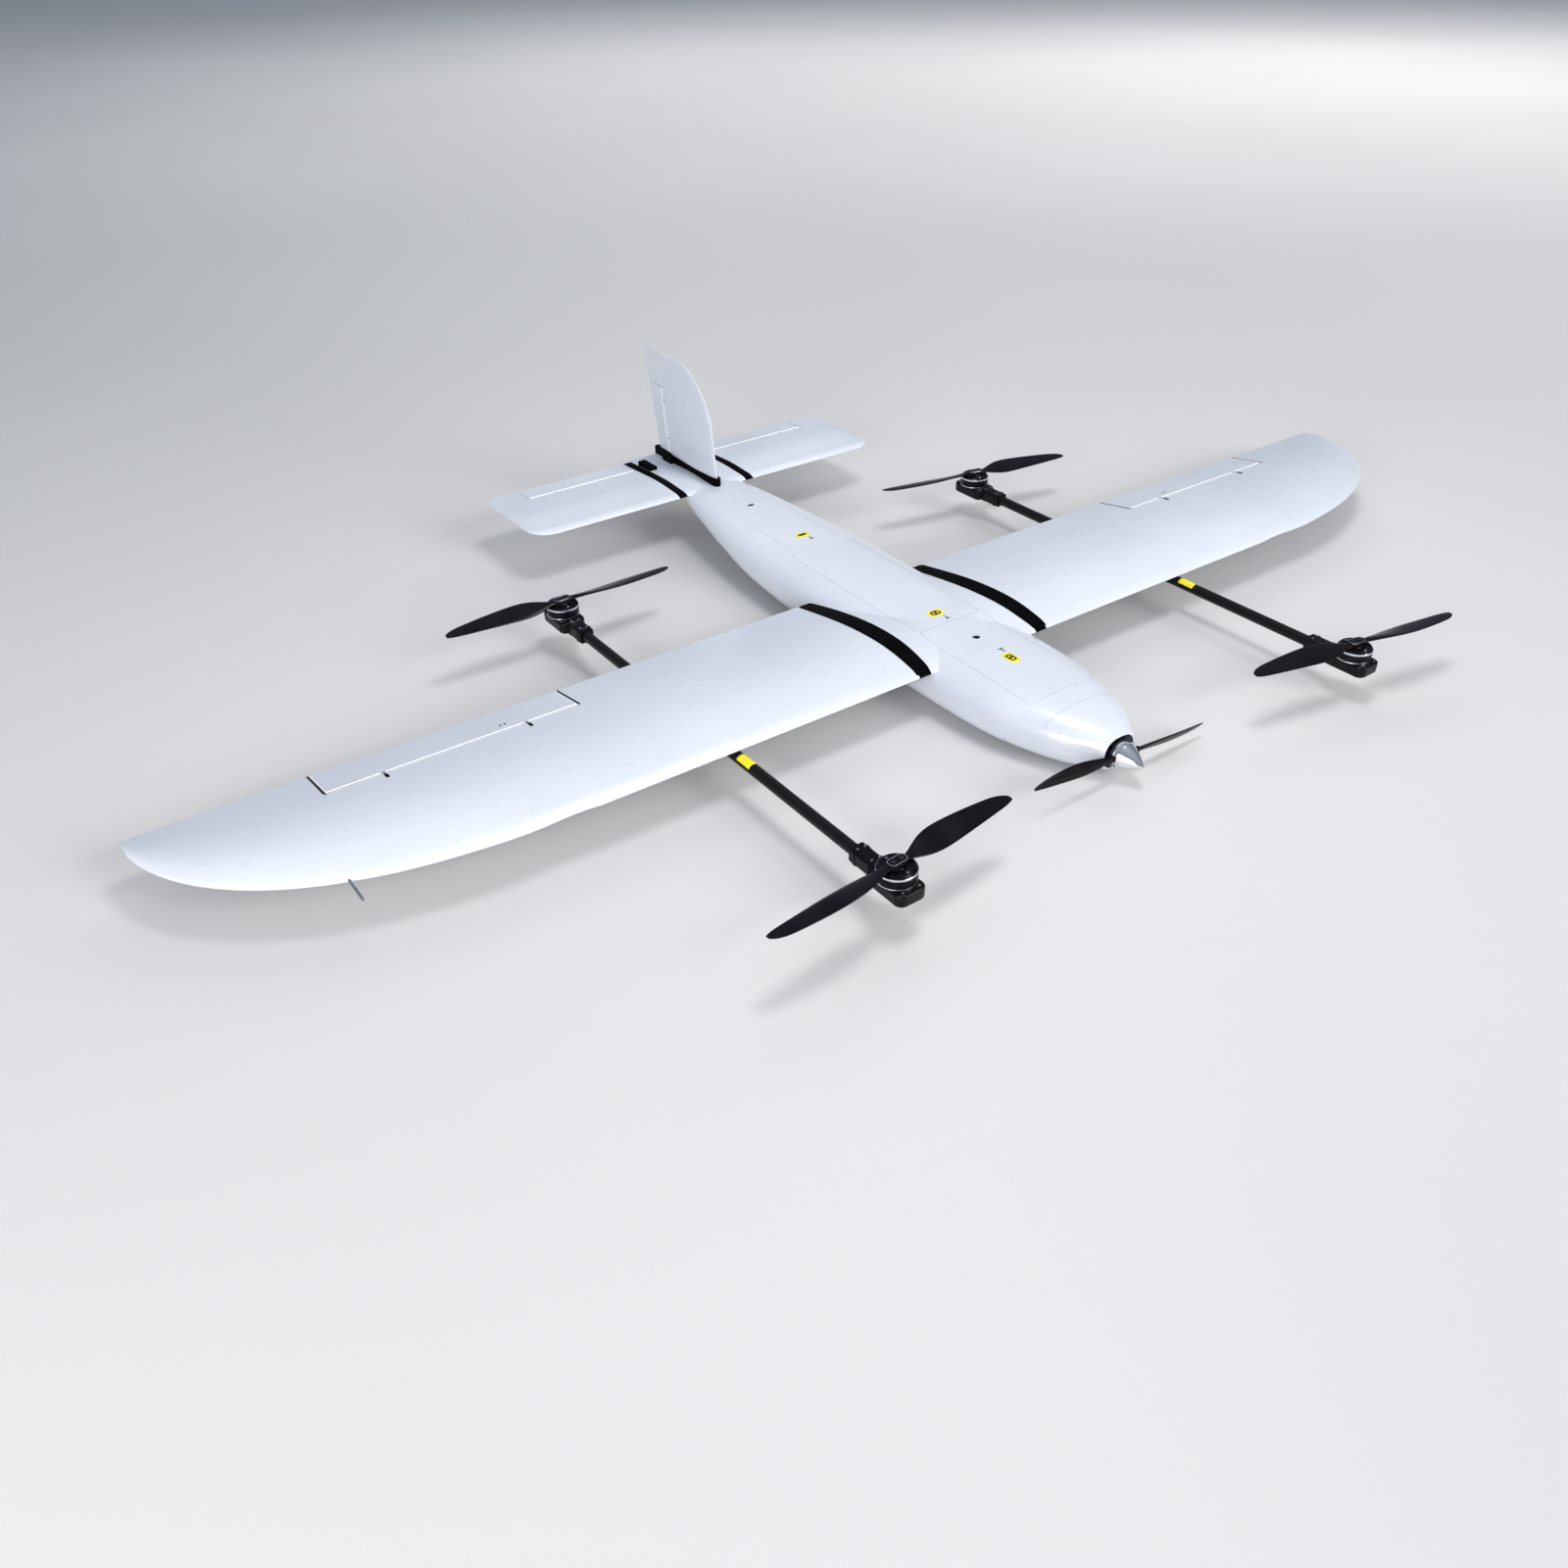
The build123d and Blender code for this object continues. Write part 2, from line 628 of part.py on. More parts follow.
RUDDER_HINGES = (0.2 * rudder_length, 0.8 * rudder_length)
with BuildPart() as rudder_lugs:
    for height in RUDDER_HINGES:
        with BuildSketch(hinge_plane.offset(height - LUG_THICK / 2)):
            Circle(2.2)
            with Locations((0, -4)):
                Rectangle(4.4, 8)
        extrude(amount=LUG_THICK)
with BuildPart() as rudder_pins:
    for height in RUDDER_HINGES:
        with BuildSketch(hinge_plane.offset(height - PIN_LENGTH / 2)):
            Circle(PIN_R)
        extrude(amount=PIN_LENGTH)

with BuildPart() as fin:
    add(fin_body.part)
    add(rudder_zone(RUDDER_NOSE_R + COVE_GAP, 0, 90, RUDDER_HINGE_HIGH[1] + 1.6), mode=Mode.SUBTRACT)
    add(rudder_lugs.part, mode=Mode.SUBTRACT)
finish("fin", fin.part)
with BuildPart() as rudder:
    add(fin_body.part)
    add(rudder_zone(RUDDER_NOSE_R, 2.5, RUDDER_BOTTOM, RUDDER_HINGE_HIGH[1]), mode=Mode.INTERSECT)
    for height in RUDDER_HINGES:
        with BuildSketch(hinge_plane.offset(height - LUG_THICK / 2 - LUG_GAP)):
            Rectangle(30, 10)
        extrude(amount=LUG_THICK + 2 * LUG_GAP, mode=Mode.SUBTRACT)
        with BuildSketch(hinge_plane.offset(height - PIN_LENGTH / 2 - 0.5)):
            Circle(PIN_R + PIN_CLEARANCE)
        extrude(amount=PIN_LENGTH + 1, mode=Mode.SUBTRACT)
finish("rudder", rudder.part)

with BuildPart() as fin_base:
    with BuildSketch(Plane.XY.offset(FIN_BASE_Z[0])):
        with Locations((0, (FIN_LEVELS[0][1] + 606) / 2 - 2)):
            SlotOverall(606 - FIN_LEVELS[0][1] + 6, 13.5, rotation=90)
    extrude(amount=FIN_BASE_Z[1] - FIN_BASE_Z[0])
    add(box_part((-13, -5), (536, 566), (FIN_BASE_Z[0], FIN_BASE_Z[1] - 1)))
    add(skin.part, mode=Mode.SUBTRACT)
finish("fin_base", fin_base.part)

with BuildPart() as stab_rib_left:
    with BuildSketch(Plane.YZ.offset(TAIL_RIB[0])):
        with BuildLine():
            tail_outline(TAIL_LE, TAIL_TE, TAIL_THICK)
        make_face()
    extrude(amount=TAIL_RIB[1] - TAIL_RIB[0])
    add(tube_hole, mode=Mode.SUBTRACT)
with BuildPart() as stabiliser_ribs:
    add(stab_rib_left.part)
    mirror(stab_rib_left.part, about=Plane.YZ)
finish("stabiliser_ribs", stabiliser_ribs.part)
with BuildPart() as linkage_cover:
    add(box_part((-61, -46), (530, 572), (TAIL_Z, TAIL_Z + 12)))
    fillet(linkage_cover.faces().sort_by(Axis.Z)[-1].edges(), 2.5)
    add(skin.part, mode=Mode.SUBTRACT)
    add(tube_hole, mode=Mode.SUBTRACT)
finish("elevator_linkage_cover", linkage_cover.part)

with BuildPart() as hinge_lugs:
    for lugs in (aileron_lugs, elevator_lugs):
        add(lugs)
        mirror(lugs, about=Plane.YZ)
    add(rudder_lugs.part)
    for pins in (aileron_pins, elevator_pins):
        add(pins, mode=Mode.SUBTRACT)
        mirror(pins, about=Plane.YZ, mode=Mode.SUBTRACT)
    add(rudder_pins.part, mode=Mode.SUBTRACT)
finish("hinge_lugs", hinge_lugs.part)
with BuildPart() as hinge_pins:
    for pins in (aileron_pins, elevator_pins):
        add(pins)
        mirror(pins, about=Plane.YZ)
    add(rudder_pins.part)
finish("hinge_pins", hinge_pins.part)

# ---------------------------------------------------------------- lift units
def blade(radius, stations, centre_z):
    """Twisted blade along +X: each station is (share of radius, chord, thickness, pitch, sweep)."""
    with BuildPart() as made_blade:
        for share, chord, thick, pitch, sweep in stations:
            with BuildSketch(Plane.YZ.offset(share * radius)):
                with Locations((sweep, centre_z)):
                    Ellipse(chord / 2, thick / 2, rotation=pitch)
        loft()
    return made_blade.part


LIFT_BLADE = [
    (0.03, 13, 6.0, 4, 0),
    (0.13, 15, 5.0, 12, 0),
    (0.26, 30, 4.6, 19, 1.5),
    (0.45, 35, 3.8, 15, 2.5),
    (0.68, 30, 2.8, 11, 2),
    (0.88, 22.5, 2.0, 8, 0.5),
    (0.97, 14, 1.4, 7, -1.5),
    (1.0, 7, 1.0, 7, -3),
]
with BuildPart() as lift_prop:
    one_blade = blade(PROP_R, LIFT_BLADE, PROP_Z)
    for turn in (0, 180):
        add(one_blade.rotate(Axis.Z, turn))
    with BuildSketch(Plane.XY.offset(BELL_Z[1])):
        SlotOverall(30, 17)
    extrude(amount=HUB_TOP - BELL_Z[1])

with BuildPart() as motor_bell:
    with BuildSketch(Plane.XY.offset(BELL_Z[0])):
        Circle(BELL_R)
    extrude(amount=BELL_Z[1] - BELL_Z[0])
    chamfer(motor_bell.faces().sort_by(Axis.Z)[-1].edges(), 2)
    with BuildSketch(Plane.XY.offset(BELL_Z[0])):
        Circle(BELL_R - BELL_WALL)
    extrude(amount=BELL_Z[1] - BELL_Z[0] - 3, mode=Mode.SUBTRACT)
    with BuildSketch(Plane.XY.offset(NACELLE_Z[1] - 3)):
        Circle(3)
    extrude(amount=BELL_Z[1] - NACELLE_Z[1] + 1)

with BuildPart() as nacelle:
    middle_y = (NACELLE_BACK - LIFT_OVERHANG) / 2
    with BuildSketch(Plane.XY.offset(NACELLE_Z[0])):
        with Locations((0, middle_y)):
            RectangleRounded(NACELLE_WIDTH, NACELLE_BACK + LIFT_OVERHANG, 11)
    extrude(amount=NACELLE_Z[1] - NACELLE_Z[0])
    fillet(nacelle.faces().sort_by(Axis.Z)[-1].edges(), 3)
    fillet(nacelle.faces().sort_by(Axis.Z)[0].edges(), 5)
    with BuildSketch(Plane.XZ.offset(-NACELLE_BACK + 6)):
        with Locations((0, BOOM_Z)):
            RectangleRounded(NECK_WIDTH, NECK_HEIGHT, 5)
    extrude(amount=-(NECK_END - NACELLE_BACK + 6))
    with BuildSketch(Plane.XY.offset(NACELLE_Z[1] - 1)):
        Circle(BELL_R)
    extrude(amount=3)
    with BuildSketch(Plane.XY.offset(NACELLE_Z[0])):
        Circle(3 + PIN_CLEARANCE)
    extrude(amount=60, mode=Mode.SUBTRACT)
    add(rod_y(0, (30, NECK_END + 5), BOOM_Z, BOOM_R), mode=Mode.SUBTRACT)

with BuildPart() as stator:
    with BuildSketch(Plane.XY.offset(NACELLE_Z[1] + 2)):
        Circle(BELL_R - BELL_WALL - 1)
        Circle(6, mode=Mode.SUBTRACT)
    extrude(amount=11.5)

unit_places = {}
for end, y in LIFT_Y.items():
    for side, sign in SIDES.items():
        unit = f"{end}_{side}"
        place = (sign * BOOM_X, y, 0)
        unit_places[unit] = place
        turn = 0 if LIFT_DIRECTION[end] > 0 else 180
        with BuildPart() as housing:
            add(nacelle.part.rotate(Axis.Z, turn).moved(Location(place)))
        finish(f"nacelle_{unit}", housing.part)
        with BuildPart() as bell:
            add(motor_bell.part.moved(Location(place)))
        finish(f"motor_bell_{unit}", bell.part)
        handed = lift_prop.part if CLOCKWISE[unit] > 0 else lift_prop.part.mirror(Plane.XZ)
        with BuildPart() as prop:
            add(handed.rotate(Axis.Z, REST_TURN[unit]).moved(Location(place)))
        finish(f"lift_prop_{unit}", prop.part)

with BuildPart() as lift_motor_stators:
    for place in unit_places.values():
        add(stator.part.moved(Location(place)))
finish("lift_motor_stators", lift_motor_stators.part)

# ---------------------------------------------------------------- nose motor and folding propeller
with BuildPart() as nose_motor_mount:
    add(cabin)
    add(box_part((-80, 80), (-497, -493), (-10, 90)), mode=Mode.INTERSECT)
    add(rod_y(0, (-500, -490), NOSE_Z, 6), mode=Mode.SUBTRACT)
finish("nose_motor_mount", nose_motor_mount.part)
with BuildPart() as nose_motor_base:
    add(rod_y(0, (-500, -497), NOSE_Z, NOSE_MOTOR_R))
    add(rod_y(0, (-522, -500), NOSE_Z, NOSE_MOTOR_R - 3))
    add(rod_y(0, (-523, -496), NOSE_Z, 3 + PIN_CLEARANCE), mode=Mode.SUBTRACT)
finish("nose_motor_base", nose_motor_base.part)
with BuildPart() as nose_motor_bell:
    add(rod_y(0, (-529, -501), NOSE_Z, NOSE_MOTOR_R))
    add(rod_y(0, (-525, -500), NOSE_Z, NOSE_MOTOR_R - 2), mode=Mode.SUBTRACT)
    add(rod_y(0, (YOKE_BACK, -498), NOSE_Z, 3))
finish("nose_motor_bell", nose_motor_bell.part)


def tilted(part):
    """Turn a piece made about the nose axis to the rest angle of the nose propeller."""
    return part.moved(Location((0, 0, -NOSE_Z))).rotate(Axis.Y, NOSE_TURN).moved(Location((0, 0, NOSE_Z)))


ROOT_HALF = 3.5
ROOT_GAP = 0.4
ROOT_WIDTH = 7
with BuildPart() as yoke_straight:
    add(rod_y(0, (SPINNER_BACK, YOKE_BACK), NOSE_Z, SPINNER_R))
    for sign in (-1, 1):
        limits = sorted((sign * (BLADE_ROOT_X - 6.5), sign * 30))
        slot_half = ROOT_HALF + ROOT_GAP
        slot = box_part(limits, (SPINNER_BACK - 1, -530), (NOSE_Z - slot_half, NOSE_Z + slot_half))
        add(slot, mode=Mode.SUBTRACT)
        with BuildSketch(Plane.XY.offset(NOSE_Z - 20)):
            with Locations((sign * BLADE_ROOT_X, NOSE_PROP_Y)):
                Circle(1.5)
        extrude(amount=40, mode=Mode.SUBTRACT)
with BuildPart() as prop_yoke:
    add(tilted(yoke_straight.part))
finish("prop_yoke", prop_yoke.part)

with BuildPart() as pins_straight:
    for sign in (-1, 1):
        with BuildSketch(Plane.XY.offset(NOSE_Z - 12)):
            with Locations((sign * BLADE_ROOT_X, NOSE_PROP_Y)):
                Circle(1.5)
        extrude(amount=24)
with BuildPart() as blade_pins:
    add(tilted(pins_straight.part))
finish("blade_pins", blade_pins.part)

with BuildPart() as spinner:
    with BuildSketch(Plane.XY.offset(NOSE_Z)):
        with BuildLine():
            ThreePointArc((SPINNER_R, SPINNER_BACK), (SPINNER_R * 0.58, -574), (0.01, SPINNER_TIP))
            Polyline((0.01, SPINNER_TIP), (0.01, SPINNER_TIP + 2))
            inner_rim = (SPINNER_R - 1.5, SPINNER_BACK)
            ThreePointArc((0.01, SPINNER_TIP + 2), (SPINNER_R * 0.58 - 1.3, -572.6), inner_rim)
            Line(inner_rim, (SPINNER_R, SPINNER_BACK))
        make_face()
    revolve(axis=Axis((0, 0, NOSE_Z), (0, 1, 0)))
finish("spinner", spinner.part)

NOSE_BLADE = [
    (0.15, 8, 5.6, 30, 0),
    (0.28, 13, 5.0, 30, 0.5),
    (0.45, 18, 4.0, 28, 1.5),
    (0.64, 17.5, 3.2, 25, 2),
    (0.82, 13, 2.2, 21, 1),
    (0.95, 7.5, 1.4, 18, -0.7),
    (1.0, 3.5, 1.0, 17, -2),
]
with BuildPart() as blade_straight:
    flat_blade = blade(NOSE_PROP_R, NOSE_BLADE, 0)
    upright = flat_blade.rotate(Axis.X, -90)
    add(upright.moved(Location((0, NOSE_PROP_Y, NOSE_Z))))
    with BuildSketch(Plane.XY.offset(NOSE_Z - ROOT_HALF)):
        with Locations((BLADE_ROOT_X + 6, NOSE_PROP_Y)):
            SlotOverall(22, ROOT_WIDTH)
    extrude(amount=2 * ROOT_HALF)
    with BuildSketch(Plane.XY.offset(NOSE_Z - 20)):
        with Locations((BLADE_ROOT_X, NOSE_PROP_Y)):
            Circle(1.5 + PIN_CLEARANCE)
    extrude(amount=40, mode=Mode.SUBTRACT)
nose_turns = {"left": 0, "right": 180}
for side, half_turn in nose_turns.items():
    turned = blade_straight.part.moved(Location((0, 0, -NOSE_Z))).rotate(Axis.Y, half_turn + NOSE_TURN)
    with BuildPart() as nose_blade:
        add(turned.moved(Location((0, 0, NOSE_Z))))
    finish(f"nose_blade_{side}", nose_blade.part)
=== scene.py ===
"""Looks for the fixed wing drone: materials, surface detail, camera, floor and light."""
import json
from math import atan2, cos, pi, radians, sin

import bmesh
import bpy
from mathutils import Matrix, Vector
from mathutils.bvhtree import BVHTree


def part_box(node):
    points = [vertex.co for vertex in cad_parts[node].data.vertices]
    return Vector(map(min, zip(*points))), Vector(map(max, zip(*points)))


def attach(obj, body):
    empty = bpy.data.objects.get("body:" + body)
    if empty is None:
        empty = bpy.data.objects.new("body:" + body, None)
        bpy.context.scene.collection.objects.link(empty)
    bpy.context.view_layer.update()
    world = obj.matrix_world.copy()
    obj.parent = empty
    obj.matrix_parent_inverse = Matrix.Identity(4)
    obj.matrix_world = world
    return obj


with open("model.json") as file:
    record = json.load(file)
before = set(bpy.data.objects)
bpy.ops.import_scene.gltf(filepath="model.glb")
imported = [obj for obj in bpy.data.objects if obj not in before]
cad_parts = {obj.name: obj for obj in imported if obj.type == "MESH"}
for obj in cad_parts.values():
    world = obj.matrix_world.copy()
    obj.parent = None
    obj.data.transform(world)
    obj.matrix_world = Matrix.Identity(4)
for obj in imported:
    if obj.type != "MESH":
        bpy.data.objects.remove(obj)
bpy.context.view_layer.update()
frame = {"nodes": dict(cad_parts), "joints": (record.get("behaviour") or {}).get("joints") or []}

MM = 0.001
SIDES = {"left": 1, "right": -1}
UNITS = [f"{end}_{side}" for end in ("front", "rear") for side in SIDES]
JOINTS = {joint["name"]: joint for joint in frame["joints"]}


# ---------------------------------------------------------------- materials
class Shader:
    """Small helper that adds and links nodes of one material."""

    def __init__(self, name):
        self.material = bpy.data.materials.new(name)
        self.material.use_nodes = True
        self.tree = self.material.node_tree
        self.surface = self.tree.nodes["Principled BSDF"]
        self.place = self.tree.nodes.new("ShaderNodeTexCoord").outputs["Object"]

    def node(self, kind, inputs=None, **settings):
        """Add a node, set its properties and its inputs, and return it."""
        made = self.tree.nodes.new(kind)
        for key, value in settings.items():
            setattr(made, key, value)
        for key, value in (inputs or {}).items():
            self.put(made.inputs[key], value)
        return made

    def put(self, socket, value):
        """Link an output to a socket, or set the socket's own value."""
        if isinstance(value, bpy.types.NodeSocket):
            self.tree.links.new(value, socket)
        else:
            socket.default_value = value

    def set(self, **values):
        """Set or link the surface's inputs, with underscores for spaces."""
        for key, value in values.items():
            self.put(self.surface.inputs[key.replace("_", " ")], value)

    def noise(self, scale, detail=4.0, stretch=(1, 1, 1), roughness=0.5):
        """Noise in metres of the object's own space."""
        mapped = self.node("ShaderNodeMapping", {"Vector": self.place, "Scale": stretch})
        return self.node(
            "ShaderNodeTexNoise",
            {"Vector": mapped.outputs[0], "Scale": scale, "Detail": detail, "Roughness": roughness},
        ).outputs["Fac"]

    def ramp(self, factor, low, high, start=0.35, end=0.65):
        """Two colours, blended over part of the factor's range."""
        made = self.node("ShaderNodeValToRGB", {"Fac": factor})
        made.color_ramp.elements[0].position = start
        made.color_ramp.elements[1].position = end
        made.color_ramp.elements[0].color = (*low, 1)
        made.color_ramp.elements[1].color = (*high, 1)
        return made.outputs["Color"]

    def span(self, factor, low, high):
        """A number that runs from low to high with the factor."""
        return self.node(
            "ShaderNodeMapRange", {"Value": factor, "To Min": low, "To Max": high}
        ).outputs["Result"]

    def bump(self, height, distance, strength=1.0, below=None):
        """Bump of a height in metres, on top of another bump if one is given."""
        inputs = {"Height": height, "Distance": distance, "Strength": strength}
        if below is not None:
            inputs["Normal"] = below
        return self.node("ShaderNodeBump", inputs).outputs["Normal"]


def white_paint():
    """Gloss white paint over composite: a faint waviness and a cool cast."""
    shader = Shader("white_paint")
    cloud = shader.noise(5.0, 3.0)
    peel = shader.noise(45.0, 2.0)
    dust = shader.noise(60.0, 5.0)
    shader.set(
        Base_Color=shader.ramp(cloud, (0.60, 0.635, 0.70), (0.65, 0.68, 0.735)),
        Roughness=shader.span(dust, 0.24, 0.34),
        Normal=shader.bump(peel, 0.00015, 0.2),
        Specular_IOR_Level=0.5,
        Coat_Weight=0.35,
        Coat_Roughness=0.12,
    )
    return shader.material


def satin_black(name, tone=0.006, low=0.42, high=0.58, grain=1400.0, sheen=0.25):
    """Moulded black plastic with a fine grain."""
    shader = Shader(name)
    fine = shader.noise(grain, 3.0)
    wear = shader.noise(35.0, 5.0)
    shader.set(
        Base_Color=shader.ramp(wear, (tone, tone, tone * 1.05), (tone * 1.7, tone * 1.7, tone * 1.85)),
        Roughness=shader.span(wear, low, high),
        Specular_IOR_Level=sheen,
        Normal=shader.bump(fine, 0.00008, 0.5),
    )
    return shader.material


def gloss_black(name, tone=0.0025, rough=(0.16, 0.28)):
    """Polished black moulding: propellers and nacelles."""
    shader = Shader(name)
    flow = shader.noise(28.0, 4.0, (1, 0.4, 1))
    fine = shader.noise(700.0, 2.0)
    shader.set(
        Base_Color=shader.ramp(flow, (tone, tone, tone * 1.3), (tone * 2.2, tone * 2.2, tone * 2.8)),
        Roughness=shader.span(flow, *rough),
        Normal=shader.bump(fine, 0.00005, 0.35),
        Specular_IOR_Level=0.12,
        Coat_Weight=0.05,
        Coat_Roughness=0.08,
    )
    return shader.material


def carbon():
    """Twill woven carbon under clear resin."""
    shader = Shader("carbon_twill")
    mapped = shader.node("ShaderNodeMapping", {"Vector": shader.place, "Rotation": (0, 0, radians(45))})
    warp = shader.node("ShaderNodeTexWave", {"Vector": mapped.outputs[0], "Scale": 160.0, "Distortion": 0.4})
    weft = shader.node(
        "ShaderNodeTexWave", {"Vector": mapped.outputs[0], "Scale": 160.0, "Distortion": 0.4},
        bands_direction="Y",
    )
    crossed = {0: warp.outputs["Fac"], 1: weft.outputs["Fac"]}
    weave = shader.node("ShaderNodeMath", crossed, operation="MULTIPLY")
    shader.set(
        Base_Color=shader.ramp(weave.outputs[0], (0.003, 0.003, 0.0035), (0.014, 0.014, 0.016), 0.1, 0.8),
        Roughness=shader.span(weave.outputs[0], 0.26, 0.42),
        Normal=shader.bump(weave.outputs[0], 0.0001, 0.4),
        Specular_IOR_Level=0.15,
        Coat_Weight=0.08,
        Coat_Roughness=0.15,
    )
    return shader.material


def metal(name, colour, rough, scale, stretch=(1, 1, 1), tint=0.85, relief=0.4):
    """Turned or polished metal with fine marks along the stretch."""
    shader = Shader(name)
    marks = shader.noise(scale, 4.0, stretch)
    low = tuple(c * tint for c in colour)
    shader.set(
        Base_Color=shader.ramp(marks, low, colour),
        Metallic=1.0,
        Roughness=shader.span(marks, *rough),
        Normal=shader.bump(marks, 0.00004, relief),
    )
    return shader.material


def label_yellow():
    """Printed vinyl: flat yellow with a faint grain and a soft sheen."""
    shader = Shader("label_yellow")
    print_noise = shader.noise(300.0, 3.0)
    shader.set(
        Base_Color=shader.ramp(print_noise, (0.80, 0.66, 0.010), (0.90, 0.76, 0.015)),
        Roughness=shader.span(print_noise, 0.35, 0.5),
        Normal=shader.bump(print_noise, 0.00003, 0.3),
    )
    return shader.material


def painted_hinge_highlight():
    """Bright white strip with a slight crinkle: painted highlight along the hinge lines and the aileron ends.
    """
    shader = Shader("painted_hinge_highlight")
    crinkle = shader.noise(450.0, 3.0, (0.3, 1, 1))
    shader.set(
        Base_Color=shader.ramp(crinkle, (0.90, 0.91, 0.93), (0.95, 0.955, 0.965)),
        Roughness=shader.span(crinkle, 0.28, 0.42),
        Normal=shader.bump(crinkle, 0.00005, 0.4),
    )
    return shader.material


def seam_grey():
    """The grey that collects in a panel seam."""
    shader = Shader("seam_grey")
    speck = shader.noise(200.0, 3.0)
    shader.set(
        Base_Color=shader.ramp(speck, (0.40, 0.41, 0.44), (0.50, 0.51, 0.54)),
        Roughness=shader.span(speck, 0.5, 0.65),
    )
    return shader.material


def floor_surface():
    """Plain pale studio floor."""
    shader = Shader("studio_floor")
    drift = shader.noise(0.35, 2.0)
    shader.set(
        Base_Color=shader.ramp(drift, (0.60, 0.595, 0.59), (0.64, 0.635, 0.63)),
        Roughness=shader.span(drift, 0.55, 0.7),
    )
    return shader.material


WHITE = white_paint()
RIB_BLACK = satin_black("rib_black", 0.0012, 0.45, 0.6, sheen=0.025)
CASE_BLACK = satin_black("case_black", 0.014)
SCREW_BLACK = satin_black("screw_black", 0.015, 0.3, 0.45, 2500.0)
PROP_BLACK = gloss_black("prop_black")
NACELLE_BLACK = gloss_black("nacelle_black", 0.003, (0.2, 0.34))
MOTOR_BLACK = metal("motor_black", (0.020, 0.020, 0.026), (0.22, 0.36), 500.0, (1, 1, 8))
CARBON = carbon()
POLISHED = metal("polished_aluminium", (0.86, 0.87, 0.89), (0.10, 0.18), 120.0, (1, 6, 1), 0.94, 0.1)
TURNED = metal("turned_aluminium", (0.80, 0.81, 0.84), (0.16, 0.28), 900.0, (1, 1, 9))
STEEL = metal("drawn_steel", (0.55, 0.56, 0.58), (0.2, 0.34), 600.0, (6, 1, 1))
COPPER = metal("copper_wire", (0.72, 0.32, 0.14), (0.25, 0.4), 1500.0, (1, 1, 12), 0.6)
YELLOW = label_yellow()
# Painted highlight: the bright white of the strips along the hinge lines.
PAINTED_HIGHLIGHT = painted_hinge_highlight()
PRINT_BLACK = satin_black("print_black", 0.008, 0.45, 0.6, 600.0)
SEAM = seam_grey()
SLEEVE = satin_black("battery_sleeve", 0.03, 0.25, 0.4, 300.0)

FINISH = {
    WHITE: ("fuselage_shell", "front_hatch", "mid_hatch", "rear_hatch", "fin", "rudder", "wing_",
            "aileron_left", "aileron_right", "stabiliser_left", "stabiliser_right",
            "elevator_left", "elevator_right"),
    RIB_BLACK: ("root_rib", "stabiliser_ribs", "fin_base", "elevator_linkage", "boom_saddles", "control_horn",
                "servo_arm", "hinge_lugs", "equipment_tray", "nose_motor_mount"),
    CASE_BLACK: ("aileron_servos", "flight_controller", "gps_receiver"),
    SLEEVE: ("battery_pack",),
    CARBON: ("boom_left", "boom_right", "main_spar", "rear_spar"),
    STEEL: ("hinge_pins", "blade_pins", "pushrod", "elevator_torque", "pitot_tube"),
    MOTOR_BLACK: ("motor_bell", "nose_motor_bell", "nose_motor_base"),
    COPPER: ("lift_motor_stators",),
    POLISHED: ("spinner", "prop_yoke"),
    PROP_BLACK: ("lift_prop", "nose_blade"),
    NACELLE_BLACK: ("nacelle",),
}


def dress_frame():
    """Give every CAD node its material; the last finish whose start matches is the one used."""
    for name, node in frame["nodes"].items():
        chosen = None
        for material, starts in FINISH.items():
            if any(name.startswith(start) for start in starts):
                chosen = material
        if chosen is None:
            raise ValueError(f"no material for {name}")
        node.data.materials.clear()
        node.data.materials.append(chosen)


# ---------------------------------------------------------------- mesh helpers
CENTRE_GAP = 0.01 * MM


def add_piece(name, bm, material, body, smooth=True):
    """Turn a bmesh into a piece that rides on a body."""
    mesh = bpy.data.meshes.new(name)
    bmesh.ops.recalc_face_normals(bm, faces=bm.faces)
    bm.to_mesh(mesh)
    bm.free()
    piece = bpy.data.objects.new(name, mesh)
    bpy.context.collection.objects.link(piece)
    mesh.materials.append(material)
    for polygon in mesh.polygons:
        polygon.use_smooth = smooth
    if smooth:
        mesh.set_sharp_from_angle(angle=radians(35))
    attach(piece, body)
    return piece


def lathe(bm, profile, place, steps=72):
    """Closed ring or solid from (radius, height) points turned about the place's Z axis."""
    rings = []
    for i in range(steps):
        turn = 2 * pi * i / steps
        rings.append([
            bm.verts.new(place @ Vector((r * cos(turn), r * sin(turn), h))) for r, h in profile
        ])
    count = len(profile)
    for i in range(steps):
        here, there = rings[i], rings[(i + 1) % steps]
        for k in range(count):
            n = (k + 1) % count
            bm.faces.new((here[k], there[k], there[n], here[n]))
    return bm


def join_loops(bm, loops):
    """Close a ring of equally long loops of points with faces, the last loop joined to the first."""
    count = len(loops[0])
    for k in range(count):
        n = (k + 1) % count
        for r, a in enumerate(loops):
            b = loops[(r + 1) % len(loops)]
            bm.faces.new((a[k], a[n], b[n], b[k]))


def slab(bm, outline, place, height, bevel=0.0):
    """Flat plate from an outline in the place's XY plane, with a bevelled upper edge."""
    centre = sum((Vector(point) for point in outline), Vector((0, 0))) / len(outline)
    levels = [(0.0, 0.0), (height - bevel, 0.0), (height, bevel)] if bevel else [(0.0, 0.0), (height, 0.0)]
    rows = []
    for level, inset in levels:
        row = []
        for x, y in outline:
            away = Vector((x, y)) - centre
            flat = Vector((x, y)) - away.normalized() * inset
            row.append(bm.verts.new(place @ Vector((flat.x, flat.y, level))))
        rows.append(row)
    count = len(outline)
    for low, high in zip(rows, rows[1:]):
        for k in range(count):
            n = (k + 1) % count
            bm.faces.new((low[k], low[n], high[n], high[k]))
    bm.faces.new(rows[0][::-1])
    bm.faces.new(rows[-1])
    return bm


